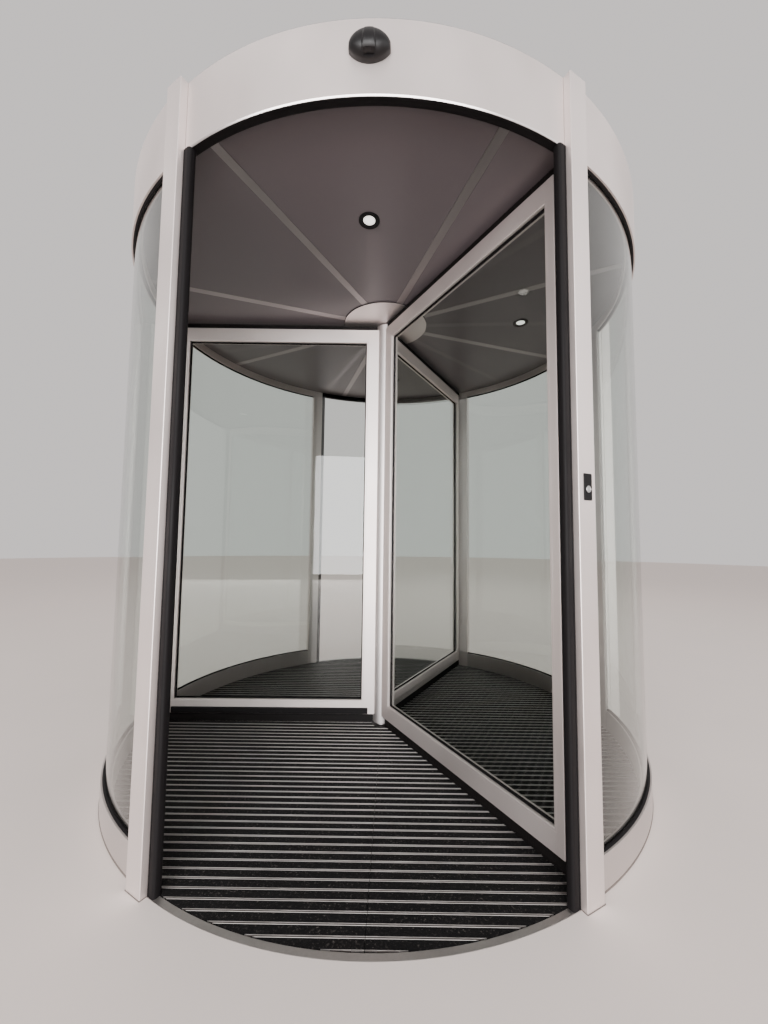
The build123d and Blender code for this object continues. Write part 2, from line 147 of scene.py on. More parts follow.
class DrumSizes(bpy.types.PropertyGroup):
    wall_thickness: length("Wall thickness", "Rails and posts from inside to outside", 38)
    passage_width: length("Passage width", "Clear width between the posts' corners", 1205)
    post_width: length("Post width", "Post's face along the drum", 72)
    post_stand: length("Post stand", "Posts stand proud of the drum by this much", 19)
    post_round: length("Post rounding", "Rounding of the post's long edges", 3.2)
    edge_round: length("Edge rounding", "Rounding of rails and side covers", 0.8)
    jamb_width: length("Safety profile width", "Rubber profile beside a post", 29)
    jamb_depth: length("Safety profile depth", "Rubber profile from outside to inside", 28)
    jamb_inset: length("Safety profile inset", "Profile inside the drum's outer face", 1)
    jamb_nose: length("Safety profile nose", "Rounding towards the passage", 13)
    jamb_slot: length("Safety profile slot", "Width of the slot beside the post", 2)
    jamb_slot_depth: length("Slot depth", "Depth of the slot beside the post", 4)
    jamb_slot_place: length("Slot place", "Slot's distance from the post", 5)
    lip: length("Lip", "Rail on each side of the glazing groove", 9)
    groove: length("Groove", "Depth of the glazing groove", 15)
    bite: length("Bite", "Glass held in the groove", 12)
    glass: length("Wall glass", "Thickness of the curved panes", 10)
    gasket: length("Gasket height", "Gasket shown on the rails", 5.5)
    gasket_cover: length("Gasket cover", "Lip under a gasket", 3.5)
    sealant: length("Sealant", "Height of the sealant at the foot of rails and posts", 5.5)
    mullion_width: length("Mullion width", "Side mullion from front to back", 56)
    fascia: length("Fascia thickness", "Sheet of the canopy covers", 4)
    lip_height: length("Drip lip height", "Slanted lower edge of the front covers", 4.2)
    joint: length("Joint", "Open joint between neighbouring pieces", 1.2)
    mat_pitch: length("Bar pitch", "Distance between the mat's bars", 33.7)
    mat_bar: length("Bar width", "Width of a scraper bar", 7)
    mat_bar_end: length("Bar end", "Carpet past the end of a bar", 3)
    mat_seam: length("Mat seam", "Gap between the mat's halves", 1.5)
    mat_turn: turn("Mat turn", "Turn of the mat about the axis", 0.9)
    ceiling_turn: turn("Ceiling turn", "Turn of the ceiling's pattern about the axis", -2.7)
    strip_width: length("Strip width", "Strips between the ceiling panels", 34)
    light_ring: length("Light ring", "Radius on which the lights lie", 770)
    bezel_radius: length("Bezel radius", "Outer radius of a light's bezel", 41)
    lens_radius: length("Lens radius", "Radius of a light's lens", 23)
    button_level: length("Plate level", "Centre of the button plate above the floor", 1146)
    button_place: length("Plate place", "Centre of the plate from the post's corner", 37)
    button_drop: length("Button drop", "Button's centre under the plate's", 6.5)
    plate_width: length("Plate width", "Width of the button plate", 33)
    plate_height: length("Plate height", "Height of the button plate", 78)
    plate_thickness: length("Plate thickness", "Thickness of the button plate", 3)
    button_radius: length("Button radius", "Radius of the push-button", 10)


class RotorSizes(bpy.types.PropertyGroup):
    leaf_turn: turn("Leaf turn", "Direction of the first leaf", 181.6)
    leaf_radius: length("Leaf radius", "Axis to the outer edge of a leaf's frame", 1157)
    depth: length("Leaf depth", "Thickness of a leaf's frame", 44)
    hinge_stile: length("Inner stile", "Stile beside the column", 64)
    lock_stile: length("Outer stile", "Stile beside the drum", 38)
    top_rail: length("Top rail", "Height of a leaf's top rail", 76)
    bottom_rail: length("Bottom rail", "Height of a leaf's bottom rail", 73)
    bead: length("Glazing bead", "Bead round the pane", 10)
    leaf_round: length("Leaf rounding", "Rounding of the leaf's outer edges", 3)
    pane: length("Leaf glass", "Thickness of a leaf's pane", 8)
    gasket_shown: length("Gasket shown", "Gasket between bead and open glass", 5.5)
    bumper_height: length("Bumper height", "Height of the safety bumper", 30)
    bumper_depth: length("Bumper depth", "Stand of the bumper off the leaf", 9)
    bumper_rise: length("Bumper rise", "Bumper above the leaf's underside", 3)
    bumper_setback: length("Bumper setback", "Bumper's distance from the leaf's ends", 30)
    column_radius: length("Column radius", "Radius of the column's cover", 44)
    column_foot: length("Column foot", "Column's cover above the floor", 13)
    column_gap: length("Column gap", "Column's cover under the ceiling's disc", 6)
    column_round: length("Column rounding", "Rounding of the cover's ends", 1.5)
    shaft_radius: length("Shaft radius", "Radius of the shaft in the column", 25)
    brush: length("Brush", "Thickness of the brushes beside and under a leaf", 14)
    top_brush: length("Top brush", "Thickness of the brush on a leaf", 34)
    brush_tip: length("Brush tip", "Radius that the side brush reaches", 1195)
    brush_setback: length("Brush setback", "Brush's distance from the column", 3)
    bristle_pitch: length("Bristle pitch", "Distance between the tufts of a brush", 2.6)
    holder_height: length("Holder height", "Brush holder under a leaf", 8)
    holder_depth: length("Holder depth", "Thickness of the brush holder", 32)


class Finishes(bpy.types.PropertyGroup):
    aluminium: colour("Aluminium", "Natural anodised aluminium", "#E6DCD9")
    rails: colour("Base rails", "Anodised aluminium of the base rails, dulled by dust", "#CAC2BF")
    column: colour("Column", "Anodised aluminium of the column", "#DAD3D2")
    disc: colour("Ceiling disc", "Anodised aluminium of the ceiling's disc", "#CFC8C7")
    ring: colour("Floor ring", "Worn aluminium of the floor ring", "#C2BCB9")
    bearing: colour("Floor bearing", "Dull steel of the floor bearing", "#413E3D")
    # This grey also stands for the shade at the feet of rails and posts: painted shade
    sealant: colour("Sealant", "Grey sealant at the feet of rails and posts", "#5C5450")
    bars: colour("Mat bars", "Milled aluminium of the scraper bars", "#E0DAD7")
    # Colour of the grooves' fill: painted shade of the grooves, and their dirt
    dirt: colour("Mat dirt", "Dirt trodden into the bars' grooves", "#4A4543")
    fibre: colour("Mat fibre", "Fibre of the mat's inserts", "#070607")
    fibre_light: colour("Mat fleck", "Lighter fibres and dust", "#6B6561")
    rubber: colour("Rubber", "Extruded black rubber", "#0D0B0C")
    glass: colour("Glass", "Tint of the glass", "#E4EAE7")
    ceiling: colour("Ceiling", "Powder coat of the ceiling", "#5A5356")
    strips: colour("Strips", "Strips between the ceiling panels", "#A09A9B")
    black: colour("Black", "Black moulded plastic", "#090809")
    lens: colour("Lens", "Opal diffuser of the lights", "#F4F1EA")
    steel: colour("Steel", "Primed steel above the ceiling", "#7B7C7E")
    roof: colour("Roof", "Galvanised sheet of the roof", "#A4A6A7")
    button: colour("Button", "Brushed steel of the push-button", "#C4C3C2")
    bristle: colour("Bristle", "Nylon bristles of the brushes", "#0C0909")
    stage: colour("Floor", "Pale floor of the stage", "#E6DAD4")
    sky: colour("Sky", "Soft light from all round", "#F3EDEB")


class StageSettings(bpy.types.PropertyGroup):
    eye: FloatVectorProperty(
        name="Eye", description="Camera's place", default=(0.098, -2.242, 1.004), unit="LENGTH",
        size=3,
    )
    yaw: turn("Yaw", "Camera turned to the right", -1.220)
    pitch: turn("Pitch", "Camera tilted up", 3.902)
    roll: turn("Roll", "Camera rolled anticlockwise", 0.607)
    lens: FloatProperty(
        name="Lens", description="Focal length in millimetres", default=14.05, unit="CAMERA"
    )
    shift_x: FloatProperty(name="Shift X", description="Sideways shift", default=-0.0084)
    shift_y: FloatProperty(name="Shift Y", description="Upward shift", default=0.0019)
    floor_radius: length("Floor radius", "Radius of the stage's floor", 24000)
    sky: FloatProperty(name="Sky", description="Strength of the soft sky", default=0.95)
    key: FloatProperty(
        name="Key", description="Power of the large light", default=1500.0, unit="POWER"
    )
    fill: FloatProperty(
        name="Fill", description="Power of the side light and the back light", default=90.0,
        unit="POWER",
    )


def drum():
    return bpy.context.scene.door_drum


def rotor():
    return bpy.context.scene.door_rotor


def finishes():
    return bpy.context.scene.door_finishes


# Places on the drum
def polar(radius, angle):
    """The plan point at that distance and direction from the axis."""
    return radius * cos(angle), radius * sin(angle)


def chord(radius, offset):
    """Half the length of a circle's chord at an offset from its centre, 0 past its edge."""
    return sqrt(max(radius ** 2 - offset ** 2, 0))


def turned(angle):
    """A turn about the axis."""
    return Matrix.Rotation(angle, 4, "Z")


def joint_turns():
    """The directions of the joints of ceiling and roof."""
    return [drum().ceiling_turn + (index + 0.5) * 2 * pi / SECTORS for index in range(SECTORS)]


def wall_inner():
    return DRUM_OUTER - drum().wall_thickness


def post_outer():
    return DRUM_OUTER + drum().post_stand


def corner_angle():
    """The direction of the front right post's corner."""
    return asin(drum().passage_width / 2 / post_outer()) - pi / 2


def at_post(*places):
    """Plan points beside the front right post's corner: along its face, and out from the axis."""
    angle = corner_angle()
    return [
        (radius * cos(angle) - along * sin(angle), radius * sin(angle) + along * cos(angle))
        for along, radius in places
    ]


def beside_post(along):
    """The angle at each radius of a cut along the front right post's side."""
    return lambda radius: corner_angle() + asin(along / radius)


def beside_mullion(gap):
    """The angle at each radius of a cut along the front face of the right mullion."""
    return lambda radius: -asin((drum().mullion_width / 2 + gap) / radius)


def leaf_places():
    return [turned(rotor().leaf_turn + index * 2 * pi / 3) for index in range(3)]


def leaf_opening():
    """The daylight opening of a leaf along +X, as spans in X and Z."""
    sizes = rotor()
    return (
        (sizes.column_radius + sizes.hinge_stile, sizes.leaf_radius - sizes.lock_stile),
        (LEAF_LOW + sizes.bottom_rail, LEAF_HIGH - sizes.top_rail),
    )


# Mesh making
def soften(outline, radius, steps=3):
    """A closed outline whose corners are arcs. radius is one value, or one for each corner."""
    nearly_straight, nearly_half = radians(170), 0.48
    points = [Vector(point) for point in outline]
    radii = radius if isinstance(radius, list) else [radius] * len(points)
    result = []
    for index, corner in enumerate(points):
        before = points[index - 1] - corner
        after = points[(index + 1) % len(points)] - corner
        opening = before.angle(after)
        if radii[index] <= 0 or opening > nearly_straight:
            result.append(tuple(corner))
            continue
        shorter = min(nearly_half * before.length, nearly_half * after.length)
        reach = min(radii[index] / tan(opening / 2), shorter)
        start = corner + before.normalized() * reach
        end = corner + after.normalized() * reach
        for step in range(steps + 1):
            t = step / steps
            result.append(tuple((1 - t) ** 2 * start + 2 * t * (1 - t) * corner + t ** 2 * end))
    return result


def rectangle(x, y):
    """The four corners of a rectangle from two spans."""
    return [(x[0], y[0]), (x[1], y[0]), (x[1], y[1]), (x[0], y[1])]


def bridge(bm, rows, closed=False):
    """Faces between rows of vertices, with an end face on the first and last unless closed.

    Returns all the vertices."""
    pairs = list(zip(rows, rows[1:]))
    if closed:
        pairs.append((rows[-1], rows[0]))
    for a, b in pairs:
        for i in range(len(a)):
            j = (i + 1) % len(a)
            bm.faces.new((a[i], a[j], b[j], b[i]))
    if not closed:
        bm.faces.new(rows[0])
        bm.faces.new(rows[-1])
    return [vertex for row in rows for vertex in row]


def add_prism(bm, outline, low, high):
    """A plan outline raised from one height to another."""
    bridge(bm, [[bm.verts.new((x, y, z)) for x, y in outline] for z in (low, high)])


def add_bar(bm, section, start, end):
    """A section in Y and Z drawn along X. Returns its vertices."""
    return bridge(bm, [[bm.verts.new((x, y, z)) for y, z in section] for x in (start, end)])


def add_sweep(bm, section, start, end, step=1.25):
    """A section in radius and height drawn about the axis, cut at each radius by start and end.

    It has a row of vertices every step degrees."""
    middle = section[0][0]
    count = ceil(degrees(abs(end(middle) - start(middle))) / step)
    rows = []
    for index in range(count + 1):
        t = index / count
        rows.append([
            bm.verts.new((*polar(radius, start(radius) * (1 - t) + end(radius) * t), z))
            for radius, z in section
        ])
    bridge(bm, rows)


def add_arch(bm, section, gap):
    """A section drawn about the axis over the front passage, a gap short of both posts."""
    end = beside_post(-gap)
    add_sweep(bm, section, lambda radius: -pi - end(radius), end)


def add_turned(bm, section, count=240, centre=(0, 0)):
    """A closed section in radius and height turned fully about a vertical axis."""
    rows = []
    for index in range(count):
        angle = 2 * pi * index / count
        rows.append([
            bm.verts.new((centre[0] + radius * cos(angle), centre[1] + radius * sin(angle), z))
            for radius, z in section
        ])
    bridge(bm, rows, closed=True)


def add_mitred(bm, section, sides=(1, -1)):
    """A section in outward distance and depth drawn round a leaf's opening, with mitres.

    It is drawn on the leaf's leading side, 1, and its trailing side, -1."""
    (x0, x1), (z0, z1) = leaf_opening()
    for side in sides:
        bridge(bm, [
            [bm.verts.new((x + dx * out, side * y, z + dz * out)) for out, y in section]
            for x, z, dx, dz in ((x0, z0, -1, -1), (x1, z0, 1, -1), (x1, z1, 1, 1), (x0, z1, -1, 1))
        ], closed=True)


def vertices_of(items):
    return [item for item in items if isinstance(item, bmesh.types.BMVert)]


def spread(bm, copies):
    """All that the mesh holds, repeated once for each matrix."""
    here, *others = copies
    source = bm.verts[:] + bm.edges[:] + bm.faces[:]
    for matrix in others:
        copy = bmesh.ops.duplicate(bm, geom=source)["geom"]
        bmesh.ops.transform(bm, matrix=matrix, verts=vertices_of(copy))
    bmesh.ops.transform(bm, matrix=here, verts=vertices_of(source))


def add_piece(name, bm, finish, slot, nodes=(), copies=(HERE,), body="drum", sharp=32,
              weighted=True):
    """Repeats a mesh and turns it into a named piece on a body, in place of its CAD nodes.

    Edges that turn by more than sharp degrees are hard, and weighted evens out flat faces."""
    spread(bm, copies)
    bmesh.ops.remove_doubles(bm, verts=bm.verts, dist=SAME_PLACE)
    bmesh.ops.recalc_face_normals(bm, faces=bm.faces)
    mesh = bpy.data.meshes.new(name)
    bm.to_mesh(mesh)
    bm.free()
    mesh.materials.append(material(finish))
    mesh.shade_smooth()
    mesh.set_sharp_from_angle(angle=radians(sharp))
    piece = bpy.data.objects.new(name, mesh)
    bpy.context.scene.collection.objects.link(piece)
    if weighted:
        piece.modifiers.new("Even shading", "WEIGHTED_NORMAL").keep_sharp = True
    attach(piece, body)
    if nodes:
        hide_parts(*nodes)


def add_each(places, name, draw, finish, slot, node, copies=(HERE,), **options):
    """A piece for each place, whose name fills the braces in name and node."""
    for place, matrix in places.items():
        bm = bmesh.new()
        draw(bm)
        add_piece(name.format(place), bm, finish, slot, [node.format(place)],
                  [matrix @ copy for copy in copies], **options)


# Materials
MOST = (0.3, 0.7)  # where most values of a noise lie


def add_node(tree, kind, settings=None, inputs=None):
    """Adds a node. Inputs are values, or the outputs of other nodes to link from."""
    node = tree.nodes.new(kind)
    for name, value in (settings or {}).items():
        setattr(node, name, value)
    for key, value in (inputs or {}).items():
        if isinstance(value, bpy.types.NodeSocket):
            tree.links.new(value, node.inputs[key])
        else:
            node.inputs[key].default_value = value
    return node


def new_material(name, settings):
    """A material with one shader that has constant settings."""
    made = bpy.data.materials.new(name)
    made.use_nodes = True
    tree = made.node_tree
    tree.nodes.clear()
    shader = add_node(tree, "ShaderNodeBsdfPrincipled", inputs=settings)
    add_node(tree, "ShaderNodeOutputMaterial", inputs={"Surface": shader.outputs["BSDF"]})
    return made


def object_pattern(tree, spacing, detail, roughness=0.5):
    """Noise whose features lie at the given spacings along X, Y and Z, in millimetres."""
    place = add_node(tree, "ShaderNodeTexCoord")
    scaled = add_node(tree, "ShaderNodeMapping", inputs={
        "Vector": place.outputs["Object"],
        "Scale": [1 / (value * MM) for value in spacing],
    })
    return add_node(tree, "ShaderNodeTexNoise", inputs={
        "Vector": scaled.outputs["Vector"],
        "Scale": 1.0,
        "Detail": detail,
        "Roughness": roughness,
    }).outputs["Fac"]


def shades(base, darker, lighter):
    """A colour's darker and lighter neighbours."""
    return [v * darker for v in base], [min(v * lighter, 1.0) for v in base]


def dress(made, tone=None, shine=None, relief=None):
    """Lets patterns vary a material. Each is what object_pattern takes, or a node's output.

    tone is a pattern and its two colours. shine is a pattern, its lowest and highest roughness,
    and the span of its values that is stretched between them, MOST if left out. relief is a
    pattern, its real depth in millimetres and its strength."""
    tree = made.node_tree
    shader = tree.nodes["Principled BSDF"]
    drawn = {}

    def value(pattern):
        if isinstance(pattern, bpy.types.NodeSocket):
            return pattern
        if pattern not in drawn:
            drawn[pattern] = object_pattern(tree, *pattern)
        return drawn[pattern]

    if tone:
        pattern, first, second = tone
        # The mix's colours are its sockets 6 and 7, and their blend is its output 2
        mix = add_node(tree, "ShaderNodeMix", {"data_type": "RGBA"}, {
            0: value(pattern), 6: (*first, 1), 7: (*second, 1),
        })
        tree.links.new(mix.outputs[2], shader.inputs["Base Color"])
    if shine:
        pattern, low, high, *ends = shine
        start, end = ends or MOST
        stretched = add_node(tree, "ShaderNodeMapRange", inputs={
            "Value": value(pattern), "From Min": start, "From Max": end,
            "To Min": low, "To Max": high,
        })
        tree.links.new(stretched.outputs["Result"], shader.inputs["Roughness"])
    if relief:
        pattern, depth, strength = relief
        bump = add_node(tree, "ShaderNodeBump", inputs={
            "Strength": strength, "Distance": depth * MM, "Height": value(pattern),
        })
        tree.links.new(bump.outputs["Normal"], shader.inputs["Normal"])
    return made


def anodised_aluminium(name, base, grain, roughness):
    """Extruded and satin anodised: soft highlights drawn out along the grain, and a faint
    cloudiness from handling. The die lines are a tenth of a millimetre apart, too fine to show,
    so they are drawn a few millimetres apart. Spun and rolled pieces have no lines, only a soft
    unevenness 10 mm across."""
    clouds = ((350, 350, 500), 4.0)
    return dress(
        new_material(name, {"Metallic": 1.0}), tone=(clouds, *shades(base, 0.93, 1.03)),
        shine=(clouds, roughness - 0.04, roughness + 0.05), relief=((grain, 3.0), 0.05, 0.35))


def worn_aluminium(name, base, wear):
    """Milled and walked on: dull, with scuffs in all directions and patches of trodden dirt."""
    scuffs, dirt = ((12,) * 3, 6.0, 0.7), ((120,) * 3, 5.0)
    return dress(
        new_material(name, {"Metallic": 1.0}), tone=(dirt, *shades(base, wear, 1.05)),
        shine=(scuffs, 0.34, 0.62), relief=(scuffs, 0.2, 0.4))


def extruded_rubber(name, base):
    """Black rubber from a die, and sealant from a gun: matt, a little paler where dust and hands
    have been. The skin's grain is far under a millimetre, so it is drawn 2 mm wide."""
    dust, skin = ((60, 60, 250), 5.0, 0.6), ((2, 2, 20), 2.0)
    return dress(
        new_material(name, {"IOR": 1.5, "Specular IOR Level": 0.13}),
        tone=(dust, *shades(base, 0.75, 1.7)), shine=(dust, 0.5, 0.7), relief=(skin, 0.1, 0.3))


def clear_glass(name, tint):
    """Float glass, toughened or laminated: clear with a green cast, and rollers have left slow
    waves about a third of a metre long that bend reflections a little."""
    return dress(new_material(name, {
        "Base Color": (*tint, 1),
        "Roughness": 0.0,
        "IOR": 1.5,
        "Transmission Weight": 1.0,
    }), relief=(((300, 300, 340), 0.0), 0.4, 0.25))


def powder_coat(name, base, roughness):
    """Satin powder coat on sheet metal: an even colour with a fine orange peel. The peel is
    under a millimetre wide, so it is drawn a few millimetres wide."""
    peel, clouds = ((4,) * 3, 1.0), ((500,) * 3, 3.0)
    return dress(
        new_material(name, {"IOR": 1.5}), tone=(clouds, *shades(base, 0.9, 1.1)),
        shine=(clouds, roughness - 0.04, roughness + 0.05), relief=(peel, 0.1, 0.25))


def moulded_plastic(name, base, roughness, specular):
    """Injection moulded black plastic: smooth, with a faint flow and settled dust. The dust's
    specks are too fine to show, so it is drawn in flecks about a centimetre apart."""
    dust = ((12, 12, 30), 5.0, 0.65)
    return dress(
        new_material(name, {"IOR": 1.46, "Specular IOR Level": specular}),
        tone=(dust, *shades(base, 0.85, 1.9)), shine=(dust, roughness - 0.05, roughness + 0.12),
        relief=(dust, 0.1, 0.15))


def opal_lens(name, base):
    """Frosted diffuser over a light source: it glows evenly, with a faint grain. The frosting is
    far under a millimetre, so it is drawn 3 mm apart."""
    return dress(new_material(name, {
        "Roughness": 0.35,
        "IOR": 1.49,
        "Emission Color": (*base, 1),
        "Emission Strength": 1.6,
    }), tone=(((3,) * 3, 2.0), *shades(base, 0.92, 1.0)))


def primed_steel(name, base):
    """Steel sections with a matt primer, sprayed a little unevenly."""
    spray = ((50,) * 3, 6.0, 0.65)
    return dress(
        new_material(name, {"IOR": 1.5}), tone=(spray, *shades(base, 0.85, 1.12)),
        shine=(spray, 0.5, 0.72), relief=(spray, 0.3, 0.25))


def galvanised_sheet(name, base):
    """Hot-dip galvanised sheet: dull grey with spangles about 15 mm across."""
    sheet = new_material(name, {"Metallic": 1.0})
    tree = sheet.node_tree
    place = add_node(tree, "ShaderNodeTexCoord")
    spangle = add_node(tree, "ShaderNodeTexVoronoi", inputs={
        "Vector": place.outputs["Object"],
        "Scale": 1 / (15 * MM),
    })
    parts = add_node(tree, "ShaderNodeSeparateColor", inputs={"Color": spangle.outputs["Color"]})
    return dress(
        sheet, tone=(parts.outputs["Red"], *shades(base, 0.8, 1.1)),
        shine=(parts.outputs["Green"], 0.38, 0.6, 0.0, 1.0), relief=(((300,) * 3, 4.0), 0.6, 0.3))


def needled_fibre(name, base):
    """Needle-punched polyamide inserts: black coarse fibres with lighter ones and dust between
    them. The fibres are a tenth of a millimetre thick, so their tufts are drawn 7 mm apart."""
    fibre = new_material(name, {"Specular IOR Level": 0.1, "Sheen Weight": 0.04})
    tree = fibre.node_tree
    tufts = object_pattern(tree, (7,) * 3, 5.0, 0.8)
    patches = object_pattern(tree, (150, 20, 150), 4.0)
    masks = [
        add_node(tree, "ShaderNodeMapRange", inputs={
            "Value": value, "From Min": start, "From Max": end, "To Min": low, "To Max": 1.0,
        }).outputs["Result"]
        for value, start, end, low in ((tufts, 0.56, 0.68, 0.0), (patches, *MOST, 0.15))
    ]
    grit = add_node(tree, "ShaderNodeMath", {"operation": "MULTIPLY"}, dict(enumerate(masks)))
    return dress(
        fibre, tone=(grit.outputs["Value"], base, finishes().fibre_light),
        shine=(tufts, 0.75, 1.0), relief=(tufts, 2.5, 0.9))


def trodden_dirt(name, base):
    """Dark matt fill for the bars' grooves: painted shade of the grooves, with grit and dust
    pressed in by feet, crumbly and uneven in tone. The grit is under a millimetre, so its crumbs
    are drawn 3 to 10 mm apart."""
    crumbs = ((10, 3, 10), 5.0, 0.75)
    return dress(
        new_material(name, {"IOR": 1.5, "Specular IOR Level": 0.1}),
        tone=(crumbs, *shades(base, 0.4, 1.8)), shine=(crumbs, 0.8, 1.0),
        relief=(crumbs, 0.8, 0.6))


def nylon_bristle(name, base):
    """Drawn nylon bristles, close together: black with a faint shine along them. They are a
    third of a millimetre thick, so their strands are drawn 3 mm apart."""
    strands = ((3, 3, 30), 3.0)
    return dress(
        new_material(name, {"IOR": 1.53, "Specular IOR Level": 0.15}),
        tone=(strands, *shades(base, 0.6, 1.6)), shine=(strands, 0.45, 0.7),
        relief=(strands, 0.6, 0.6))


def brushed_steel(name, base):
    """Brushed stainless steel with upright lines that draw its shine out. The lines are a
    twentieth of a millimetre apart, so they are drawn 0.8 mm apart."""
    lines = ((0.8, 0.8, 10), 3.0)
    return dress(
        new_material(name, {"Metallic": 1.0}), tone=(lines, *shades(base, 0.9, 1.05)),
        shine=(lines, 0.24, 0.38), relief=(lines, 0.05, 0.3))


def smooth_screed(name, base):
    """Pale ground floor of the stage, with a quiet mottle."""
    mottle = ((600,) * 3, 6.0, 0.6)
    return dress(
        new_material(name, {"IOR": 1.5, "Specular IOR Level": 0.3}),
        tone=(mottle, *shades(base, 0.95, 1.03)), shine=(mottle, 0.5, 0.68))


# Spacings of an aluminium's grain in millimetres: upright lines, level lines, and no lines
UPRIGHT, LEVEL, SOFT = (3, 3, 600), (600, 600, 3), (10, 10, 10)
# How each finish is made, its material's name, its colour, and what else its maker takes
MAKERS = {
    "upright_aluminium": (
        anodised_aluminium, "anodised_aluminium_upright", "aluminium", UPRIGHT, 0.52),
    "level_aluminium": (anodised_aluminium, "anodised_aluminium_level", "aluminium", LEVEL, 0.5),
    "base_rails": (anodised_aluminium, "anodised_aluminium_rails", "rails", LEVEL, 0.5),
    "column": (anodised_aluminium, "anodised_aluminium_column", "column", UPRIGHT, 0.5),
    "lip": (anodised_aluminium, "anodised_aluminium_lip", "disc", LEVEL, 0.3),
    "disc": (anodised_aluminium, "anodised_aluminium_disc", "disc", SOFT, 0.42),
    "strips": (anodised_aluminium, "anodised_aluminium_strips", "strips", SOFT, 0.42),
    "ring": (worn_aluminium, "worn_aluminium_ring", "ring", 0.7),
    "bars": (worn_aluminium, "worn_aluminium_bars", "bars", 0.6),
    "bearing": (worn_aluminium, "dull_steel_bearing", "bearing", 0.7),
    "sealant": (extruded_rubber, "tooled_sealant", "sealant"),
    "rubber": (extruded_rubber, "extruded_rubber", "rubber"),
    "dirt": (trodden_dirt, "trodden_dirt", "dirt"),
    "fibre": (needled_fibre, "needled_fibre", "fibre"),
    "glass": (clear_glass, "clear_glass", "glass"),
    "ceiling": (powder_coat, "powder_coat_dark", "ceiling", 0.34),
    "black": (moulded_plastic, "moulded_plastic_gloss", "black", 0.36, 0.3),
    "satin_black": (moulded_plastic, "moulded_plastic_satin", "black", 0.5, 0.2),
    "lens": (opal_lens, "opal_diffuser", "lens"),
    "steel": (primed_steel, "primed_steel", "steel"),
    "roof": (galvanised_sheet, "galvanised_sheet", "roof"),
    "button": (brushed_steel, "brushed_steel", "button"),
    "bristle": (nylon_bristle, "nylon_bristle", "bristle"),
    "stage": (smooth_screed, "smooth_screed", "stage"),
}
MADE = {}


def material(finish):
    """The material of that finish, made when it is first asked for."""
    if finish not in MADE:
        make, name, base, *rest = MAKERS[finish]
        MADE[finish] = make(name, getattr(finishes(), base), *rest)
    return MADE[finish]


# Pieces of the drum
class DOOR_OT_floor(bpy.types.Operator):
    """Floor ring flush with the floor, and the bearing under the column"""

    bl_idname = "door.floor"
    bl_label = "Floor ring and bearing"

    def execute(self, context):
        ring = bmesh.new()
        section = rectangle((MAT_RADIUS + LET_IN, DRUM_OUTER), (0, FLOOR))
        add_turned(ring, soften(section, 1 * MM), count=360)
        add_piece("floor_ring_dressed", ring, "ring", "floor_ring", ["floor_ring"])

        bearing = bmesh.new()
        column, edge = rotor().column_radius, 3 * MM
        add_turned(bearing, [
            (0, 0), (BEARING_RADIUS, 0), (BEARING_RADIUS, FLOOR - edge),
            (BEARING_RADIUS - edge, FLOOR), (column, FLOOR), (column - edge, FLOOR - edge),
            (0, FLOOR - edge),
        ], count=96)
        add_piece("floor_bearing_dressed", bearing, "bearing", "floor_ring", ["floor_bearing"])
        return {"FINISHED"}


class DOOR_OT_mat(bpy.types.Operator):
    """Black fibre inserts between grooved scraper bars, in two halves, with a dark fill in the
    bars' grooves: painted shade of the grooves, and trodden dirt
    """

    bl_idname = "door.mat"
    bl_label = "Entrance mat"

    def execute(self, context):
        sizes = drum()
        seam, half = sizes.mat_seam / 2, sizes.mat_bar / 2
        hole = BEARING_RADIUS + LET_IN
        reach = MAT_RADIUS - sizes.mat_bar_end
        # Underside of bars and inserts, the inserts' top, and the room beside a bar
        base, fibre_top, play = FLOOR - 10 * MM, FLOOR - 0.5 * MM, 0.4 * MM
        place = turned(sizes.mat_turn)
        halves = [place, place @ TO_LEFT]
        count = int(reach / sizes.mat_pitch)
        lines = [index * sizes.mat_pitch for index in range(-count, count + 1)]

        def inner_end(y):
            """Where the right half begins, beside the seam or the bearing."""
            return max(chord(hole, y), seam)

        inserts = bmesh.new()
        edges = [-MAT_RADIUS + play] + lines + [MAT_RADIUS - play]
        cuts = 4
        for first, second in zip(edges, edges[1:]):
            near = first + (half + play if first in lines else 0)
            far = second - (half + play if second in lines else 0)
            if far > near:
                levels = [near + (far - near) * t / cuts for t in range(cuts + 1)]
                outline = [(chord(MAT_RADIUS, y), y) for y in levels]
                outline += [(inner_end(y), y) for y in levels[::-1]]
                add_prism(inserts, outline, base, fibre_top)
        rim = [polar(MAT_RADIUS, radians(angle)) for angle in range(-89, 90, 2)]
        add_prism(inserts, [(PLAY, -MAT_RADIUS), *rim, (PLAY, MAT_RADIUS)], 0, base)
        add_piece("mat_inserts", inserts, "fibre", "mat_carpet", ["mat_left", "mat_right"], halves,
                  weighted=False)

        # A bar's bevel, the land beside its groove, and the groove's depth
        edge, land, groove = 0.4 * MM, 1.4 * MM, 3.2 * MM
        rise = [
            (-half, base), (-half, FLOOR - edge), (-half + edge, FLOOR), (-half + land, FLOOR),
            (-half + land + edge, FLOOR - groove),
        ]
        profile = rise + [(-y, z) for y, z in rise[::-1]]
        # The dark fill in each groove is painted shade of the groove, and also stands for trodden
        # dirt
        wall, fill = half - land - edge, FLOOR - 0.35 * groove
        dirt = rectangle((-wall, wall), (FLOOR - groove, fill))
        for name, section, finish, slot, nodes in (
            ("mat_scraper_bars", profile, "bars", "mat_bars", ["mat_bars"]),
            ("mat_groove_dirt", dirt, "dirt", "mat_carpet", []),
        ):
            bm = bmesh.new()
            for line in lines:
                rows = [[], []]
                for across, z in section:
                    y = max(min(line + across, reach - play), play - reach)
                    for row, x in zip(rows, (inner_end(y), chord(reach, y))):
                        row.append(bm.verts.new((x, y, z)))
                bridge(bm, rows)
            add_piece(name, bm, finish, slot, nodes, halves, weighted=False)
        return {"FINISHED"}


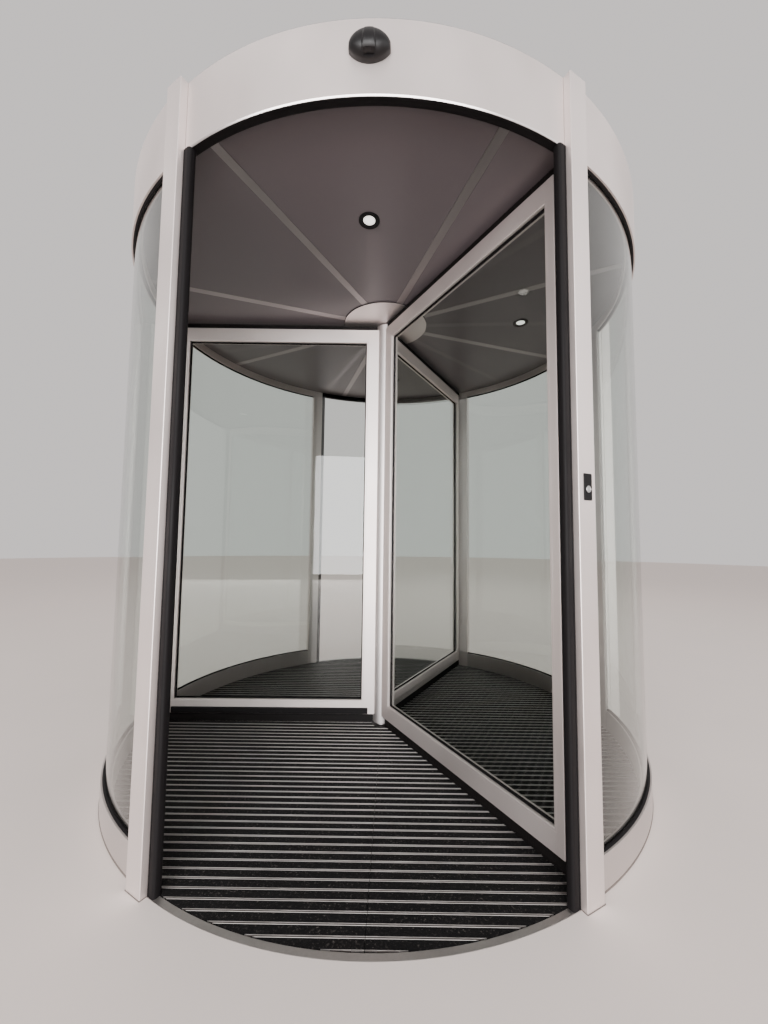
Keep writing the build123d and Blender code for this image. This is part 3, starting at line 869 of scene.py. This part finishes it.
class DOOR_OT_posts(bpy.types.Operator):
    """Four posts beside the passages, with softly rounded long edges"""

    bl_idname = "door.posts"
    bl_label = "Posts"

    def execute(self, context):
        inner, outer, width = wall_inner(), post_outer(), drum().post_width
        corners = at_post((0, inner), (0, outer), (width, outer), (width, inner))
        outline = soften(corners, drum().post_round)
        add_each(QUARTERS, "post_{}_dressed", lambda bm: add_prism(bm, outline, FLOOR, CANOPY_TOP),
                 "upright_aluminium", "aluminium", "post_{}")
        return {"FINISHED"}


class DOOR_OT_jamb_seals(bpy.types.Operator):
    """Rubber safety profiles with a slot by the post and a round nose to the passage"""

    bl_idname = "door.jamb_seals"
    bl_label = "Safety profiles"

    def execute(self, context):
        sizes = drum()
        outer = DRUM_OUTER - sizes.jamb_inset
        inner, foot = outer - sizes.jamb_depth, outer - sizes.jamb_slot_depth
        near, width, nose = sizes.jamb_slot_place, sizes.jamb_width, sizes.jamb_nose
        far = near + sizes.jamb_slot
        small = 0.5 * MM
        outline = soften(at_post(
            (0, inner), (0, outer), (-near, outer), (-near, foot), (-far, foot), (-far, outer),
            (-width, outer), (-width, inner),
        ), [0, 2 * small, small, 0, 0, small, nose, nose], steps=8)
        add_each(ENDS, "safety_profiles_{}", lambda bm: add_prism(bm, outline, FLOOR, PASSAGE_TOP),
                 "rubber", "rubber", "jamb_seals_{}", copies=(HERE, TO_LEFT))
        return {"FINISHED"}


class DOOR_OT_base_rails(bpy.types.Operator):
    """Grooved rails on the floor ring, and grey sealant along their foot that also paints the shade
    where rails and posts meet the floor
    """

    bl_idname = "door.base_rails"
    bl_label = "Base rails"

    def execute(self, context):
        sizes = drum()
        inner, outer, groove = wall_inner(), DRUM_OUTER, RAIL_TOP - sizes.groove
        inner_lip, outer_lip = inner + sizes.lip, outer - sizes.lip
        section = soften([
            (inner, FLOOR), (outer, FLOOR), (outer, RAIL_TOP), (outer_lip, RAIL_TOP),
            (outer_lip, groove), (inner_lip, groove), (inner_lip, RAIL_TOP), (inner, RAIL_TOP),
        ], sizes.edge_round)
        start = beside_post(sizes.post_width + sizes.joint / 2)
        end = beside_mullion(sizes.joint / 2)
        add_each(QUARTERS, "base_rail_{}_dressed", lambda bm: add_sweep(bm, section, start, end),
                 "base_rails", "aluminium", "base_rail_{}")

        # Grey bead along the rails' foot and round the posts' feet: sealant, and painted shade
        # where they meet the floor
        bm = bmesh.new()
        bead = [(outer, FLOOR), (outer + 1.6 * MM, FLOOR), (outer, FLOOR + sizes.sealant)]
        add_sweep(bm, bead, start, end)
        proud = 1.4 * MM
        far, front = sizes.post_width + proud, post_outer() + proud
        outline = at_post((-proud, outer), (-proud, front), (far, front), (far, outer))
        add_prism(bm, soften(outline, 2 * MM), FLOOR, FLOOR + 0.3 * sizes.sealant)
        add_piece("foot_sealant", bm, "sealant", "rubber", copies=QUARTERS.values())
        return {"FINISHED"}


class DOOR_OT_wall_glass(bpy.types.Operator):
    """Four curved panes with ground edges"""

    bl_idname = "door.wall_glass"
    bl_label = "Curved panes"

    def execute(self, context):
        sizes = drum()
        middle, half = (wall_inner() + DRUM_OUTER) / 2, sizes.glass / 2
        corners = rectangle(
            (middle - half, middle + half), (RAIL_TOP - sizes.bite, SIDE_HEAD + sizes.bite))
        section = soften(corners, 0.6 * MM, steps=1)
        start, end = beside_post(sizes.post_width + sizes.joint), beside_mullion(sizes.joint)
        add_each(QUARTERS, "curved_pane_{}", lambda bm: add_sweep(bm, section, start, end),
                 "glass", "wall_glass", "wall_glass_{}")
        return {"FINISHED"}


class DOOR_OT_wall_gaskets(bpy.types.Operator):
    """Wedge gaskets on both faces of the curved panes, at their foot and head"""

    bl_idname = "door.wall_gaskets"
    bl_label = "Wall gaskets"

    def execute(self, context):
        sizes = drum()
        middle, half = (wall_inner() + DRUM_OUTER) / 2, sizes.glass / 2
        start, end = beside_post(sizes.post_width + PLAY), beside_mullion(PLAY)
        bm = bmesh.new()
        for glass, lip in (
            (middle + half + PLAY, DRUM_OUTER - sizes.lip + sizes.gasket_cover),
            (middle - half - PLAY, wall_inner() + sizes.lip - sizes.gasket_cover),
        ):
            shoulder = lip + (glass - lip) * 0.55
            for level, height in ((RAIL_TOP, sizes.gasket), (SIDE_HEAD, -sizes.gasket)):
                section = soften([
                    (glass, level), (lip, level), (lip, level + 0.25 * height),
                    (shoulder, level + 0.8 * height), (glass, level + height),
                ], EASED, steps=2)
                add_sweep(bm, section, start, end)
        add_piece("glazing_gaskets", bm, "rubber", "rubber", ["wall_gaskets"], QUARTERS.values())
        return {"FINISHED"}


class DOOR_OT_side_mullions(bpy.types.Operator):
    """Mullions half-way along the sides, each with a shadow groove before its outer fin"""

    bl_idname = "door.side_mullions"
    bl_label = "Side mullions"

    def execute(self, context):
        half, ease, groove = drum().mullion_width / 2, drum().post_round, 2 * MM
        across = (-half, half)
        inside = soften(rectangle((wall_inner(), DRUM_OUTER - groove), across), ease)
        neck = rectangle((DRUM_OUTER - 2 * groove, DRUM_OUTER + groove),
                         (-half + groove, half - groove))
        fin = soften(rectangle((DRUM_OUTER + PLAY, MULLION_TIP), across), ease)

        def draw(bm):
            for outline, top in ((inside, SIDE_HEAD), (neck, SIDE_HEAD), (fin, CANOPY_TOP)):
                add_prism(bm, outline, FLOOR, top)

        add_each(SIDES, "side_mullion_{}_dressed", draw, "upright_aluminium", "aluminium",
                 "side_mullion_{}")
        return {"FINISHED"}


class DOOR_OT_fascias(bpy.types.Operator):
    """Curved covers of the canopy. The side ones end in the head rail that holds the glass"""

    bl_idname = "door.fascias"
    bl_label = "Fascias"

    def execute(self, context):
        sizes = drum()
        inner, outer, groove = wall_inner(), DRUM_OUTER, SIDE_HEAD + sizes.groove
        inner_lip, outer_lip, skin = inner + sizes.lip, outer - sizes.lip, outer - sizes.fascia
        side = soften([
            (inner, SIDE_HEAD), (inner_lip, SIDE_HEAD), (inner_lip, groove), (outer_lip, groove),
            (outer_lip, SIDE_HEAD), (outer, SIDE_HEAD), (outer, CANOPY_TOP), (skin, CANOPY_TOP),
            (skin, FRAME_LEVEL), (inner, FRAME_LEVEL),
        ], sizes.edge_round)
        start = beside_post(sizes.post_width + sizes.joint)
        add_each(SIDES, "fascia_{}_dressed",
                 lambda bm: add_sweep(bm, side, start, lambda radius: -start(radius)),
                 "level_aluminium", "aluminium", "fascia_{}")

        fold = 0.3 * MM
        span, lip_top = (FASCIA_OUTER - sizes.fascia, FASCIA_OUTER), PASSAGE_TOP + sizes.lip_height
        tip = FASCIA_OUTER - 0.6 * sizes.fascia
        front = soften(rectangle(span, (lip_top, CANOPY_TOP)), fold)
        lip = soften([
            (span[0], lip_top), (span[0], PASSAGE_TOP), (tip, PASSAGE_TOP), (span[1], lip_top),
        ], fold)
        for end, matrix in ENDS.items():
            for part, section, finish in (
                ("dressed", front, "level_aluminium"), ("lip", lip, "lip"),
            ):
                add_each({end: matrix}, "fascia_{}_" + part,
                         lambda bm: add_arch(bm, section, sizes.joint),
                         finish, "aluminium", "fascia_{}")
        return {"FINISHED"}


class DOOR_OT_header_seals(bpy.types.Operator):
    """Rubber bands under the canopy's edge, rounded to the passage"""

    bl_idname = "door.header_seals"
    bl_label = "Header profiles"

    def execute(self, context):
        outer = FASCIA_OUTER - drum().fascia - SEAT
        corners = rectangle((wall_inner(), outer), (PASSAGE_TOP, FRAME_LEVEL))
        bm = bmesh.new()
        add_arch(bm, soften(corners, [8 * MM, 3 * MM, 0, 0], steps=6), 0)
        add_piece("header_profiles", bm, "rubber", "rubber", ["header_seals"], ENDS.values())
        return {"FINISHED"}


class DOOR_OT_ceiling(bpy.types.Operator):
    """Dark panels in eight sectors, lighter strips in their joints, and the disc in the middle,
    with a black band round its rim that paints the shadow of its gap
    """

    bl_idname = "door.ceiling"
    bl_label = "Ceiling"

    def execute(self, context):
        half, gap, cuts = drum().strip_width / 2, 0.9 * MM, 20
        outer = wall_inner() - SEAT
        panel_end, strip_end = DISC_RADIUS - 25 * MM, DISC_RADIUS - 20 * MM  # over the disc
        panels = bmesh.new()
        for joint in joint_turns():
            outline = []
            for radius, order in ((outer, 1), (panel_end, -1)):
                margin = asin((half + gap) / radius)
                opening = 2 * pi / SECTORS - 2 * margin
                arc = [margin + opening * i / cuts for i in range(cuts + 1)]
                outline += [polar(radius, joint + angle) for angle in arc[::order]]
            add_prism(panels, outline, CEILING, FRAME_LEVEL)
        add_piece("ceiling_sectors", panels, "ceiling", "ceiling", ["ceiling_panels"],
                  weighted=False)

        strips = bmesh.new()
        section = soften(rectangle((-half, half), (CEILING - 1 * MM, FRAME_LEVEL)), 0.5 * MM)
        add_bar(strips, section, strip_end, chord(outer, half))
        add_piece("ceiling_joint_strips", strips, "strips", "ceiling_strips", ["ceiling_strips"],
                  [turned(joint) for joint in joint_turns()])

        hole = rotor().shaft_radius + 6 * MM
        rim, back = DISC_RADIUS - 1.8 * MM, CEILING - 1.1 * MM
        plate = soften(rectangle((hole, rim), (DISC_LOW, back)), EASED)
        # A black band round the disc's rim, a little back from the plate's face: a painted shadow
        # of the gap between disc and ceiling
        painted_shadow_band = rectangle((rim + 0.1 * MM, DISC_RADIUS), (DISC_LOW + 0.6 * MM, back))
        for name, section, finish, slot, nodes in (
            ("ceiling_disc_dressed", plate, "disc", "aluminium", ["ceiling_disc"]),
            ("ceiling_disc_edge", painted_shadow_band, "rubber", "rubber", []),
        ):
            bm = bmesh.new()
            add_turned(bm, section, count=180)
            add_piece(name, bm, finish, slot, nodes)
        return {"FINISHED"}


class DOOR_OT_downlights(bpy.types.Operator):
    """Four lights: a black bezel with a sloped well, and an opal lens"""

    bl_idname = "door.downlights"
    bl_label = "Downlights"

    def execute(self, context):
        sizes = drum()
        lens, outer, well = sizes.lens_radius, sizes.bezel_radius, sizes.lens_radius + PLAY
        face, bulge = CEILING - 4 * MM, CEILING - 2.2 * MM
        bezel_section = soften([
            (well, CEILING), (well, CEILING - 1.5 * MM), (lens + 4 * MM, face), (outer, face),
            (outer, CEILING),
        ], EASED)
        lens_section = [
            (0, CEILING), (lens, CEILING), (lens, CEILING - 1 * MM),
            (0.7 * lens, bulge + 0.3 * MM), (0, bulge),
        ]
        for name, section, finish, slot in (
            ("downlight_bezels", bezel_section, "satin_black", "bezel"),
            ("downlight_lenses", lens_section, "lens", "lens"),
        ):
            bm = bmesh.new()
            for index in range(4):
                centre = polar(sizes.light_ring, sizes.ceiling_turn + index * pi / 2)
                add_turned(bm, section, count=64, centre=centre)
            add_piece(f"{name}_dressed", bm, finish, slot, [name])
        return {"FINISHED"}


class DOOR_OT_roof(bpy.types.Operator):
    """Sheet cover in sectors with lapped seams, and finishes for the steel under it"""

    bl_idname = "door.roof"
    bl_label = "Roof and drive"

    def execute(self, context):
        foot, sheet, hem = CANOPY_TOP + SEAT, ROOF_TOP - 1.2 * MM, 2 * MM
        lap_start, lap_end, lap_half = 50 * MM, ROOF_RADIUS - 5 * hem, 12 * MM
        bm = bmesh.new()
        add_turned(bm, [
            (0, foot), (ROOF_RADIUS - hem, foot), (ROOF_RADIUS, CANOPY_TOP + 0.6 * MM),
            (ROOF_RADIUS, ROOF_TOP - 0.6 * MM), (ROOF_RADIUS - hem, ROOF_TOP - 0.2 * MM),
            (ROOF_RADIUS - 4 * hem, sheet), (0, sheet),
        ])
        seam = rectangle((-lap_half, lap_half), (sheet - 0.4 * MM, ROOF_TOP))
        for joint in joint_turns():
            lap = add_bar(bm, soften(seam, 0.6 * MM), lap_start, lap_end)
            bmesh.ops.transform(bm, matrix=turned(joint), verts=lap)
        add_piece("roof_sheet", bm, "roof", "roof", ["roof_cover"])
        for node in ("canopy_frame", "drive_unit"):
            slots = frame["nodes"][node].data.materials
            slots.clear()
            slots.append(material("steel"))
        return {"FINISHED"}


def sensor_depth(x, t, z, foot):
    """The sensor's depth in front of its rim: a dome, with a nose over a recess.

    t runs from -1 at the dome's foot to 1 at its top, and z is the height above its middle."""
    bulge, recess, recess_half = 31 * MM, 8 * MM, 15 * MM
    nose_half, nose_stand, nose_slope = 20 * MM, 5 * MM, 2.5 * MM
    dome = bulge * (1 - 0.12 * t) * sqrt(max((1 - (x / SENSOR_HIGH.x) ** 2) * (1 - t * t), 0))
    if z < foot:
        return min(dome, recess) if abs(x) < recess_half else dome
    rise = (z - foot) / ((SENSOR_HIGH.z - SENSOR_LOW.z) / 2 - foot)
    side = min(max((nose_half * (1 - 0.4 * rise) - abs(x)) / nose_slope, 0), 1)
    return dome + nose_stand * (1 - rise) * side * side * (3 - 2 * side)


class DOOR_OT_sensors(bpy.types.Operator):
    """Domed sensors with a wedge nose over a dark recess, front and back"""

    bl_idname = "door.sensors"
    bl_label = "Sensors"

    def execute(self, context):
        middle = (SENSOR_LOW.z + SENSOR_HIGH.z) / 2
        half_width, half_height = SENSOR_HIGH.x, (SENSOR_HIGH.z - SENSOR_LOW.z) / 2
        # Half the dome's height at its sides, its rim off the fascia, and the nose's foot
        side_height, rim, foot = 10 * MM, 9 * MM, -35 * MM
        rise = half_height - side_height
        arc = (half_width ** 2 + rise ** 2) / (2 * rise)
        across, upward = 84, 72  # faces of the dome each way

        def draw(bm):
            """A grid that is drawn closer at its edges, with a skirt back to the fascia."""
            grid = []
            for i in range(across + 1):
                x = half_width * sin(pi * (i / across - 0.5))
                top = chord(arc, x) - arc + half_height
                column = []
                for j in range(upward + 1):
                    t = sin(pi * (j / upward - 0.5))
                    y = -FASCIA_OUTER - rim - sensor_depth(x, t, t * top, foot)
                    column.append(bm.verts.new((x, y, middle + t * top)))
                grid.append(column)
            for a, b in zip(grid, grid[1:]):
                for j in range(upward):
                    bm.faces.new((a[j], a[j + 1], b[j + 1], b[j]))
            border = [edge for edge in bm.edges if edge.is_boundary]
            skirt = bmesh.ops.extrude_edge_only(bm, edges=border)["geom"]
            for vertex in vertices_of(skirt):
                vertex.co.y = -chord(FASCIA_OUTER + SEAT, vertex.co.x)

        add_each(ENDS, "sensor_{}_dressed", draw, "black", "sensor", "sensor_{}", sharp=45)
        return {"FINISHED"}


class DOOR_OT_buttons(bpy.types.Operator):
    """Plates with a round push-button, on the front right and back left posts"""

    bl_idname = "door.buttons"
    bl_label = "Push-buttons"

    def execute(self, context):
        sizes = drum()
        angle = corner_angle()
        [(x, y)] = at_post((sizes.button_place, post_outer()))
        place = Matrix((
            (-sin(angle), 0, cos(angle), x),
            (cos(angle), 0, sin(angle), y),
            (0, 1, 0, FLOOR + sizes.button_level),
            (0, 0, 0, 1),
        ))
        copies = [place, turned(pi) @ place]
        half_width, half_height = sizes.plate_width / 2, sizes.plate_height / 2
        face, bevel = sizes.plate_thickness, 0.96
        outline = soften(
            rectangle((-half_width, half_width), (-half_height, half_height)), 3 * MM, steps=6)
        plate = bmesh.new()
        rows = []
        for scale, w in ((1, 0), (1, face - 0.7 * MM), (bevel, face)):
            upright = 1 - (1 - scale) * half_width / half_height
            rows.append([plate.verts.new((u * scale, v * upright, w)) for u, v in outline])
        bridge(plate, rows)
        add_piece("button_plates_dressed", plate, "satin_black", "button_plate",
                  ["button_plates"], copies)

        radius, top, sunk = sizes.button_radius, face + 2 * MM, face - 1 * MM
        button = bmesh.new()
        add_turned(button, [
            (0, sunk), (radius, sunk), (radius, top - 0.6 * MM), (radius - 0.6 * MM, top),
            (radius - 2 * MM, top), (radius - 2.6 * MM, top - 0.5 * MM), (0, top - 0.2 * MM),
        ], count=48, centre=(0, -sizes.button_drop))
        add_piece("push_buttons_dressed", button, "button", "button", ["push_buttons"], copies)
        return {"FINISHED"}


# Pieces of the rotor
class DOOR_OT_column(bpy.types.Operator):
    """Round column cover with eased ends, on its shaft"""

    bl_idname = "door.column"
    bl_label = "Centre column"

    def execute(self, context):
        sizes = rotor()
        radius, shaft, ease = sizes.column_radius, sizes.shaft_radius, sizes.column_round
        foot, top = FLOOR + sizes.column_foot, DISC_LOW - sizes.column_gap
        section = soften([
            (0, FLOOR + SEAT), (shaft, FLOOR + SEAT), (shaft, foot), (radius, foot),
            (radius, top), (shaft, top), (shaft, SHAFT_TOP), (0, SHAFT_TOP),
        ], [0, 0, 0, ease, ease, 0, 0, 0], steps=6)
        bm = bmesh.new()
        add_turned(bm, section, count=72)
        add_piece("centre_column_dressed", bm, "column", "column", ["centre_column"], body="rotor")
        return {"FINISHED"}


class DOOR_OT_leaf_frames(bpy.types.Operator):
    """Stiles and rails of the three leaves, with mitred glazing beads on both faces"""

    bl_idname = "door.leaf_frames"
    bl_label = "Leaf frames"

    def execute(self, context):
        sizes = rotor()
        (x0, x1), (z0, z1) = leaf_opening()
        half, bead, corner, joint = sizes.depth / 2, sizes.bead, sizes.leaf_round, 0.35 * MM
        depth, outer = (-half, half), bead - joint
        seat = chord(sizes.column_radius, half) + SEAT
        hinge = soften(rectangle((seat, x0 - bead), depth), EASED)
        lock = soften(rectangle((x1 + bead, sizes.leaf_radius), depth),
                      [EASED, corner, corner, EASED])
        # A bead's face and back, and the core that closes the joint behind it
        face, back = half - 0.3 * MM, half - 12.5 * MM
        section = soften([
            (outer, back), (outer, face), (2.2 * MM, face), (0, half - 2.5 * MM), (0, back),
        ], 0.6 * MM)
        inset = 6 * MM
        core = rectangle((outer, bead + 4 * MM), (-half + inset, half - inset))

        def draw(bm):
            for outline in (hinge, lock):
                add_prism(bm, outline, LEAF_LOW, LEAF_HIGH)
            for span in ((LEAF_LOW, z0 - bead), (z1 + bead, LEAF_HIGH)):
                add_bar(bm, soften(rectangle(depth, span), EASED), x0 - outer, x1 + outer)
            add_mitred(bm, section)
            add_mitred(bm, core, sides=(1,))

        add_each(dict(enumerate(leaf_places(), start=1)), "leaf_frame_{}_dressed", draw,
                 "upright_aluminium", "aluminium", "leaf_frame_{}", body="rotor")
        return {"FINISHED"}


class DOOR_OT_leaf_panes(bpy.types.Operator):
    """Toughened panes of the leaves"""

    bl_idname = "door.leaf_panes"
    bl_label = "Leaf panes"

    def execute(self, context):
        (x0, x1), (z0, z1) = leaf_opening()
        # Pane held by the beads, half its thickness, and its ground edges
        held, half, ground = 9 * MM, rotor().pane / 2, 0.8 * MM
        bm = bmesh.new()
        rows = []
        for y, inset in ((-half, ground), (-half + ground, 0), (half - ground, 0), (half, ground)):
            edge = held - inset
            corners = rectangle((x0 - edge, x1 + edge), (z0 - edge, z1 + edge))
            rows.append([bm.verts.new((x, y, z)) for x, z in corners])
        bridge(bm, rows)
        add_piece("leaf_glass", bm, "glass", "leaf_glass", ["leaf_panes"], leaf_places(),
                  body="rotor", weighted=False)
        return {"FINISHED"}


class DOOR_OT_leaf_rubber(bpy.types.Operator):
    """Glazing gaskets of the leaves, and the safety bumper on each leading face"""

    bl_idname = "door.leaf_rubber"
    bl_label = "Leaf gaskets and bumpers"

    def execute(self, context):
        sizes = rotor()
        half, pane, shown = sizes.depth / 2, sizes.pane / 2 + 0.15 * MM, sizes.gasket_shown
        bm = bmesh.new()
        add_mitred(bm, soften([
            (-PLAY, pane), (-PLAY, pane + 5.5 * MM), (-0.35 * shown, pane + 5.2 * MM),
            (-shown, pane + 1.2 * MM), (-shown, pane),
        ], EASED, steps=2))
        low, stand = LEAF_LOW + sizes.bumper_rise, sizes.bumper_depth
        corners = rectangle((half, half + stand), (low, low + sizes.bumper_height))
        setback = sizes.bumper_setback
        add_bar(bm, soften(corners, [0, 0.45 * stand, 0.45 * stand, 0], steps=6),
                sizes.column_radius + setback, sizes.leaf_radius - setback)
        add_piece("leaf_rubber_dressed", bm, "rubber", "rubber", ["leaf_rubber"], leaf_places(),
                  body="rotor")
        return {"FINISHED"}


class DOOR_OT_brushes(bpy.types.Operator):
    """Brush strips of the leaves: a holder, a dense core and loose tufts at the tips"""

    bl_idname = "door.brushes"
    bl_label = "Brushes"

    def execute(self, context):
        sizes = rotor()
        chance = random.Random(7)
        inner, leaf = sizes.column_radius + sizes.brush_setback, sizes.leaf_radius
        # Loose bristles round the core, at its tips, their roots in it, and their reach past the
        # CAD's strip
        skin, fringe, sunk, spare = 1.5 * MM, 5 * MM, 2 * MM, 3.2 * MM
        core, top_core = sizes.brush / 2 - skin, sizes.top_brush / 2 - skin
        core_tip = sizes.brush_tip - fringe
        bm = bmesh.new()
        for half, along, levels in (
            (top_core, (inner, core_tip), (LEAF_HIGH, BRUSH_HIGH - fringe)),
            (core, (inner, core_tip), (BRUSH_LOW + fringe, LEAF_LOW)),
            (core, (leaf, core_tip), (LEAF_LOW, LEAF_HIGH)),
        ):
            add_prism(bm, rectangle(along, (-half, half)), *levels)
        holder = sizes.holder_depth / 2
        section = rectangle((-holder, holder), (LEAF_LOW - sizes.holder_height, LEAF_LOW))
        add_bar(bm, soften(section, 1.5 * MM), inner, leaf - sizes.leaf_round)

        pitch = sizes.bristle_pitch
        width, thickness, taper = 0.45 * pitch, 0.9 * MM, 0.45
        uneven, lean = 1.6, 0.8  # most that a tuft is short or leans, in millimetres
        up, out = Vector((0, 0, 1)), Vector((1, 0, 0))

        def tuft(root, direction):
            """A thin tapered bundle of bristles. It draws its length first, and then its lean."""
            reach = fringe + sunk + spare - chance.uniform(0, uneven) * MM
            along = -up if direction.x else out
            end = root + direction * reach + along * chance.uniform(-lean, lean) * MM
            bridge(bm, [
                [bm.verts.new(centre + along * u * width * size + Vector((0, v * thickness, 0)))
                 for u, v in ((-1, -1), (1, -1), (1, 1), (-1, 1))]
                for centre, size in ((root, 1.0), (end, taper))
            ])

        inset = 0.5 * MM
        across = (-core + inset, core - inset)
        top_across = [t * (top_core - inset) for t in (-1, -0.35, 0.35, 1)]
        top, foot = BRUSH_HIGH - fringe - sunk, BRUSH_LOW + fringe + sunk
        for index in range(int((core_tip - inner) / pitch)):
            x = inner + (index + 0.5) * pitch
            for y in top_across:
                tuft(Vector((x, y, top)), up)
            for y in across:
                tuft(Vector((x, y, foot)), -up)
        for index in range(int((BRUSH_HIGH - BRUSH_LOW - 2 * fringe) / pitch)):
            z = BRUSH_LOW + fringe + (index + 0.5) * pitch
            for y in across:
                tuft(Vector((core_tip - sunk, y, z)), out)
        add_piece("leaf_brushes_dressed", bm, "bristle", "brush", ["leaf_brushes"], leaf_places(),
                  body="rotor", weighted=False)
        return {"FINISHED"}


class DOOR_OT_stage(bpy.types.Operator):
    """Pale floor with a recess for the door, soft light and the camera"""

    bl_idname = "door.stage"
    bl_label = "Stage"

    def execute(self, context):
        settings = context.scene.door_stage
        objects = context.scene.collection.objects
        # The recess and its bottom, and the radius of the floor's first, finer ring
        hole, under, near = DRUM_OUTER + 0.6 * MM, -0.4 * MM, 3.0
        count = 240
        bm = bmesh.new()
        rows = [
            [bm.verts.new((*polar(radius, 2 * pi * i / count), z)) for i in range(count)]
            for radius, z in (
                (hole, under), (hole, FLOOR), (near, FLOOR), (settings.floor_radius, FLOOR),
            )
        ]
        for a, b in zip(rows, rows[1:]):
            for i in range(count):
                j = (i + 1) % count
                bm.faces.new((a[i], b[i], b[j], a[j]))
        bm.faces.new(rows[0])
        mesh = bpy.data.meshes.new("stage_floor")
        bm.to_mesh(mesh)
        bm.free()
        mesh.materials.append(material("stage"))
        floor = bpy.data.objects.new("stage_floor", mesh)
        objects.link(floor)

        world = bpy.data.worlds.new("soft_sky")
        context.scene.world = world
        world.use_nodes = True
        sky = world.node_tree.nodes["Background"]
        sky.inputs["Color"].default_value = (*finishes().sky, 1)
        sky.inputs["Strength"].default_value = settings.sky

        for name, power, size, place, target in (
            ("key_light", settings.key, (11.0, 3.0), (-0.6, -8.0, 1.65), (0, 0, 1.3)),
            ("fill_light", settings.fill, (4.0, 4.0), (4.8, -3.6, 3.2), (0, 0, 1.1)),
            ("back_light", settings.fill, (6.0, 3.0), (0.5, 6.5, 5.0), (0, 0, 1.0)),
        ):
            data = bpy.data.lights.new(name, "AREA")
            data.shape = "RECTANGLE"
            data.size, data.size_y = size
            data.energy = power
            light = bpy.data.objects.new(name, data)
            light.location = place
            aim = Vector(target) - Vector(place)
            light.rotation_euler = aim.to_track_quat("-Z", "Y").to_euler()
            light.visible_transmission = False
            objects.link(light)

        yaw, pitch, roll = settings.yaw, settings.pitch, settings.roll
        forward = Vector((sin(yaw) * cos(pitch), cos(yaw) * cos(pitch), sin(pitch)))
        level = Vector((cos(yaw), -sin(yaw), 0))
        upright = level.cross(forward)
        right = cos(roll) * level + sin(roll) * upright
        up = cos(roll) * upright - sin(roll) * level
        camera = bpy.data.cameras.new("camera")
        camera.sensor_fit = "VERTICAL"
        camera.sensor_height = 36.0
        camera.lens = settings.lens
        camera.shift_x = settings.shift_x
        camera.shift_y = settings.shift_y
        camera.clip_start = 0.01
        eye = bpy.data.objects.new("camera", camera)
        axes = Matrix((right, up, -forward)).transposed().to_4x4()
        eye.matrix_world = Matrix.Translation(settings.eye) @ axes
        objects.link(eye)
        context.scene.camera = eye
        return {"FINISHED"}


OPERATORS = (
    DOOR_OT_floor,
    DOOR_OT_mat,
    DOOR_OT_posts,
    DOOR_OT_jamb_seals,
    DOOR_OT_base_rails,
    DOOR_OT_wall_glass,
    DOOR_OT_wall_gaskets,
    DOOR_OT_side_mullions,
    DOOR_OT_fascias,
    DOOR_OT_header_seals,
    DOOR_OT_ceiling,
    DOOR_OT_downlights,
    DOOR_OT_roof,
    DOOR_OT_sensors,
    DOOR_OT_buttons,
    DOOR_OT_column,
    DOOR_OT_leaf_frames,
    DOOR_OT_leaf_panes,
    DOOR_OT_leaf_rubber,
    DOOR_OT_brushes,
    DOOR_OT_stage,
)
GROUPS = {
    "door_drum": DrumSizes,
    "door_rotor": RotorSizes,
    "door_finishes": Finishes,
    "door_stage": StageSettings,
}


class DOOR_PT_panel(bpy.types.Panel):
    bl_label = "Revolving door"
    bl_idname = "DOOR_PT_panel"
    bl_space_type = "VIEW_3D"
    bl_region_type = "UI"
    bl_category = "Revolving door"

    def draw(self, context):
        for operator in OPERATORS:
            self.layout.operator(operator.bl_idname)
        for name, group in GROUPS.items():
            box = self.layout.box()
            for key in group.__annotations__:
                box.prop(getattr(context.scene, name), key)


def register():
    for group in GROUPS.values():
        bpy.utils.register_class(group)
    for name, group in GROUPS.items():
        setattr(bpy.types.Scene, name, PointerProperty(type=group))
    for item in (*OPERATORS, DOOR_PT_panel):
        bpy.utils.register_class(item)


def unregister():
    for item in reversed((*OPERATORS, DOOR_PT_panel)):
        bpy.utils.unregister_class(item)
    for name in GROUPS:
        delattr(bpy.types.Scene, name)
    for group in reversed(GROUPS.values()):
        bpy.utils.unregister_class(group)


def main():
    register()
    for operator in OPERATORS:
        section, action = operator.bl_idname.split(".")
        getattr(getattr(bpy.ops, section), action)()


if __name__ == "__main__":
    main()
